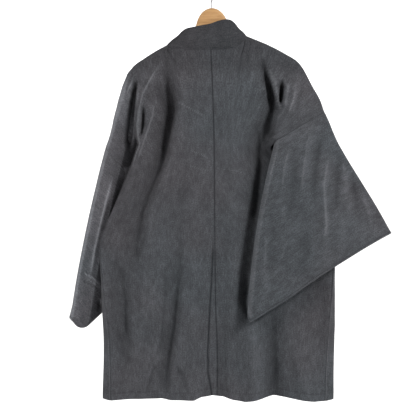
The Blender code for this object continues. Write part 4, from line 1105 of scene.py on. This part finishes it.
def cloth_material():
    """Slubbed plain weave in washed-out charcoal: uneven threads, paler where folds and edges have rubbed,
    with painted light, painted shade and painted shadow laid into its colour.
    """
    graph = Graph("charcoal_slub")
    uv = graph.add("UVMap")
    uv.uv_map = "UVMap"
    flat = uv.outputs["UV"]
    slubs = graph.noise(flat, 1.0, 3.0, (380.0, 46.0, 1.0))
    base = graph.ramp(slubs, *SLUB_COLOURS)
    layers = {}
    for name, (across, along, detail, strength, *stops) in CLOTH_LAYERS.items():
        layers[name] = graph.noise(flat, 1.0, detail, (across, along, 1.0))
        greys = graph.ramp(layers[name], *((place, (grey,) * 3) for place, grey in stops))
        base = graph.mix("OVERLAY", strength, base, greys)
    clouds = graph.noise(graph.add("TexCoord").outputs["Object"], 3.2)
    tint = graph.ramp(clouds, (0.38, (0.88, 0.96, 1.0)), (0.62, (1.0, 0.95, 0.98)))
    base = graph.mix("MULTIPLY", 0.8, base, tint)
    grit = graph.noise(flat, 1.0, 4.0, (420.0, 200.0, 1.0))
    rubbed = graph.maths("MULTIPLY", graph.attribute("wear"), graph.maths("MULTIPLY", grit, 1.5), clamp=True)
    base = graph.mix("MIX", graph.maths("MULTIPLY", rubbed, 0.26), base, (0.30, 0.31, 0.33))
    # The colour is scaled by the painted light and shade, and by the tone of each piece
    base = graph.maths("MULTIPLY", base, graph.attribute("tone_with_painted_light"), node="VectorMath")
    # Dark seam and stitch lines, and painted shadow along the pleat line, darken the colour towards black
    soiled = graph.maths("MULTIPLY", graph.attribute("soil"), 0.72, clamp=True)
    base = graph.mix("MIX", soiled, base, (0.004, 0.004, 0.005))
    weave = graph.maths("MULTIPLY", graph.bands(flat, "X", 250.0), graph.bands(flat, "Y", 230.0))
    height = graph.maths("ADD", graph.maths("MULTIPLY", slubs, 1.2), graph.maths("MULTIPLY", weave, 0.35))
    height = graph.maths("ADD", height, layers["mottle"])
    return graph.finish({
        "Base Color": base,
        "Roughness": 0.92,
        "Specular IOR Level": 0.08,
        "Sheen Weight": 0.025,
        "Sheen Roughness": 0.6,
        "Normal": graph.bump(height, 0.55, 0.0006),
    })


def wood_material():
    """Pale beech under clear varnish, its grain along the hanger."""
    graph = Graph("varnished_beech_grain")
    place = graph.add("TexCoord").outputs["Object"]
    grain = graph.noise(place, 1.0, 4.0, (14.0, 260.0, 260.0))
    flecks = graph.noise(place, 1.0, 2.0, (120.0, 900.0, 900.0))
    fleck_colour = graph.ramp(flecks, (0.35, (0.80, 0.72, 0.62)), (0.5, (1.0, 1.0, 1.0)))
    return graph.finish({
        "Base Color": graph.mix("MULTIPLY", 0.35, graph.ramp(grain, *BEECH_COLOURS), fleck_colour),
        "Roughness": graph.maths("MULTIPLY_ADD", grain, 0.12, 0.32),
        "Coat Weight": 0.3,
        "Coat Roughness": 0.15,
        "Normal": graph.bump(grain, 0.15, 0.0003),
    })


def steel_material():
    """Bright drawn wire, faintly scratched."""
    graph = Graph("polished_wire")
    scratches = graph.noise(graph.add("TexCoord").outputs["Object"], 900.0, 3.0)
    return graph.finish({
        "Base Color": graph.ramp(scratches, (0.3, (0.22, 0.22, 0.23)), (0.7, (0.36, 0.36, 0.36))),
        "Roughness": graph.maths("MULTIPLY_ADD", scratches, 0.2, 0.3),
        "Metallic": 1.0,
    })


# ---------------------------------------------------------------- stage


FLOOR_LEVEL = -1.5
WALL_PLACE = 4.7  # of the backdrop behind the garment
WALL_TOP = 6.0
SWEEP_RADIUS = 0.8  # between the floor and the wall
WORLD_LIGHT = 0.05
# Name, place, what it points at, size in metres, watts
LIGHTS = (
    ("key", (2.4, -1.6, 1.1), (0.0, 0.0, -0.55), 0.7, 118.0),
    ("side", (-2.3, -1.45, 0.5), (0.0, 0.0, -0.6), 0.7, 66.0),
    ("fill", (-0.5, -3.4, 0.3), (0.0, 0.0, -0.6), 1.8, 2.0),
    ("backdrop_light", (0.0, 2.3, 2.0), (0.0, 4.7, -0.5), 3.2, 190.0),
)
CAMERA_PLACE = (-0.005, -2.4, -0.578)
SENSOR_WIDTH = 36.0  # millimetres
LENS = SENSOR_WIDTH * 960.0 / 416.0  # takes in 416 across at a distance of 960


def floor_and_wall():
    """A pale floor that sweeps up into a wall."""
    start = WALL_PLACE - SWEEP_RADIUS
    middle = FLOOR_LEVEL + SWEEP_RADIUS
    profile = [(-6.0, FLOOR_LEVEL), (start, FLOOR_LEVEL)]
    for a in np.linspace(0.1, math.pi / 2, 12):
        profile.append((start + SWEEP_RADIUS * math.sin(a), middle - SWEEP_RADIUS * math.cos(a)))
    profile.append((WALL_PLACE, WALL_TOP))
    points = [(x, y, z) for y, z in profile for x in (-9.0, 9.0)]
    faces = [(2 * i, 2 * i + 1, 2 * i + 3, 2 * i + 2) for i in range(len(profile) - 1)]
    mesh = bpy.data.meshes.new("floor")
    mesh.from_pydata(points, [], faces)
    mesh.shade_smooth()
    mesh.materials.append(Graph("pale_floor").finish({"Base Color": (0.86, 0.86, 0.86), "Roughness": 0.9}))
    return placed("floor", mesh)


def stage():
    """The floor, soft lights and the camera."""
    floor = floor_and_wall()
    scene = bpy.context.scene
    scene.world = bpy.data.worlds.new("studio")
    scene.world.use_nodes = True
    background = scene.world.node_tree.nodes["Background"]
    background.inputs["Color"].default_value = (1.0, 1.0, 1.0, 1.0)
    background.inputs["Strength"].default_value = WORLD_LIGHT
    for name, place, target, size, power in LIGHTS:
        light = bpy.data.lights.new(name, "AREA")
        light.size = size
        light.energy = power
        made = placed(name, light)
        made.location = place
        made.rotation_euler = (Vector(target) - Vector(place)).to_track_quat("-Z", "Y").to_euler()
    camera = bpy.data.cameras.new("camera")
    camera.sensor_width = SENSOR_WIDTH
    camera.lens = LENS
    camera.clip_end = 50.0
    scene.camera = placed("camera", camera)
    scene.camera.location = CAMERA_PLACE
    scene.camera.rotation_euler = (math.pi / 2, 0.0, 0.0)
    scene.view_settings.view_transform = "Standard"


def main():
    """Every piece of the jacket, the hanger's finishes and the stage."""
    cloth = cloth_material()
    grids = {side: body_grids(side) for side in ("left", "right")}
    for side in ("left", "right"):
        sleeve(side, cloth)
        body(side, grids[side], cloth)
        gusset(side, grids[side], cloth)
    collar(grids, cloth)
    for node, finish in (("hanger", wood_material()), ("hook", steel_material())):
        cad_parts[node].material_slots[0].material = finish
    stage()


main()
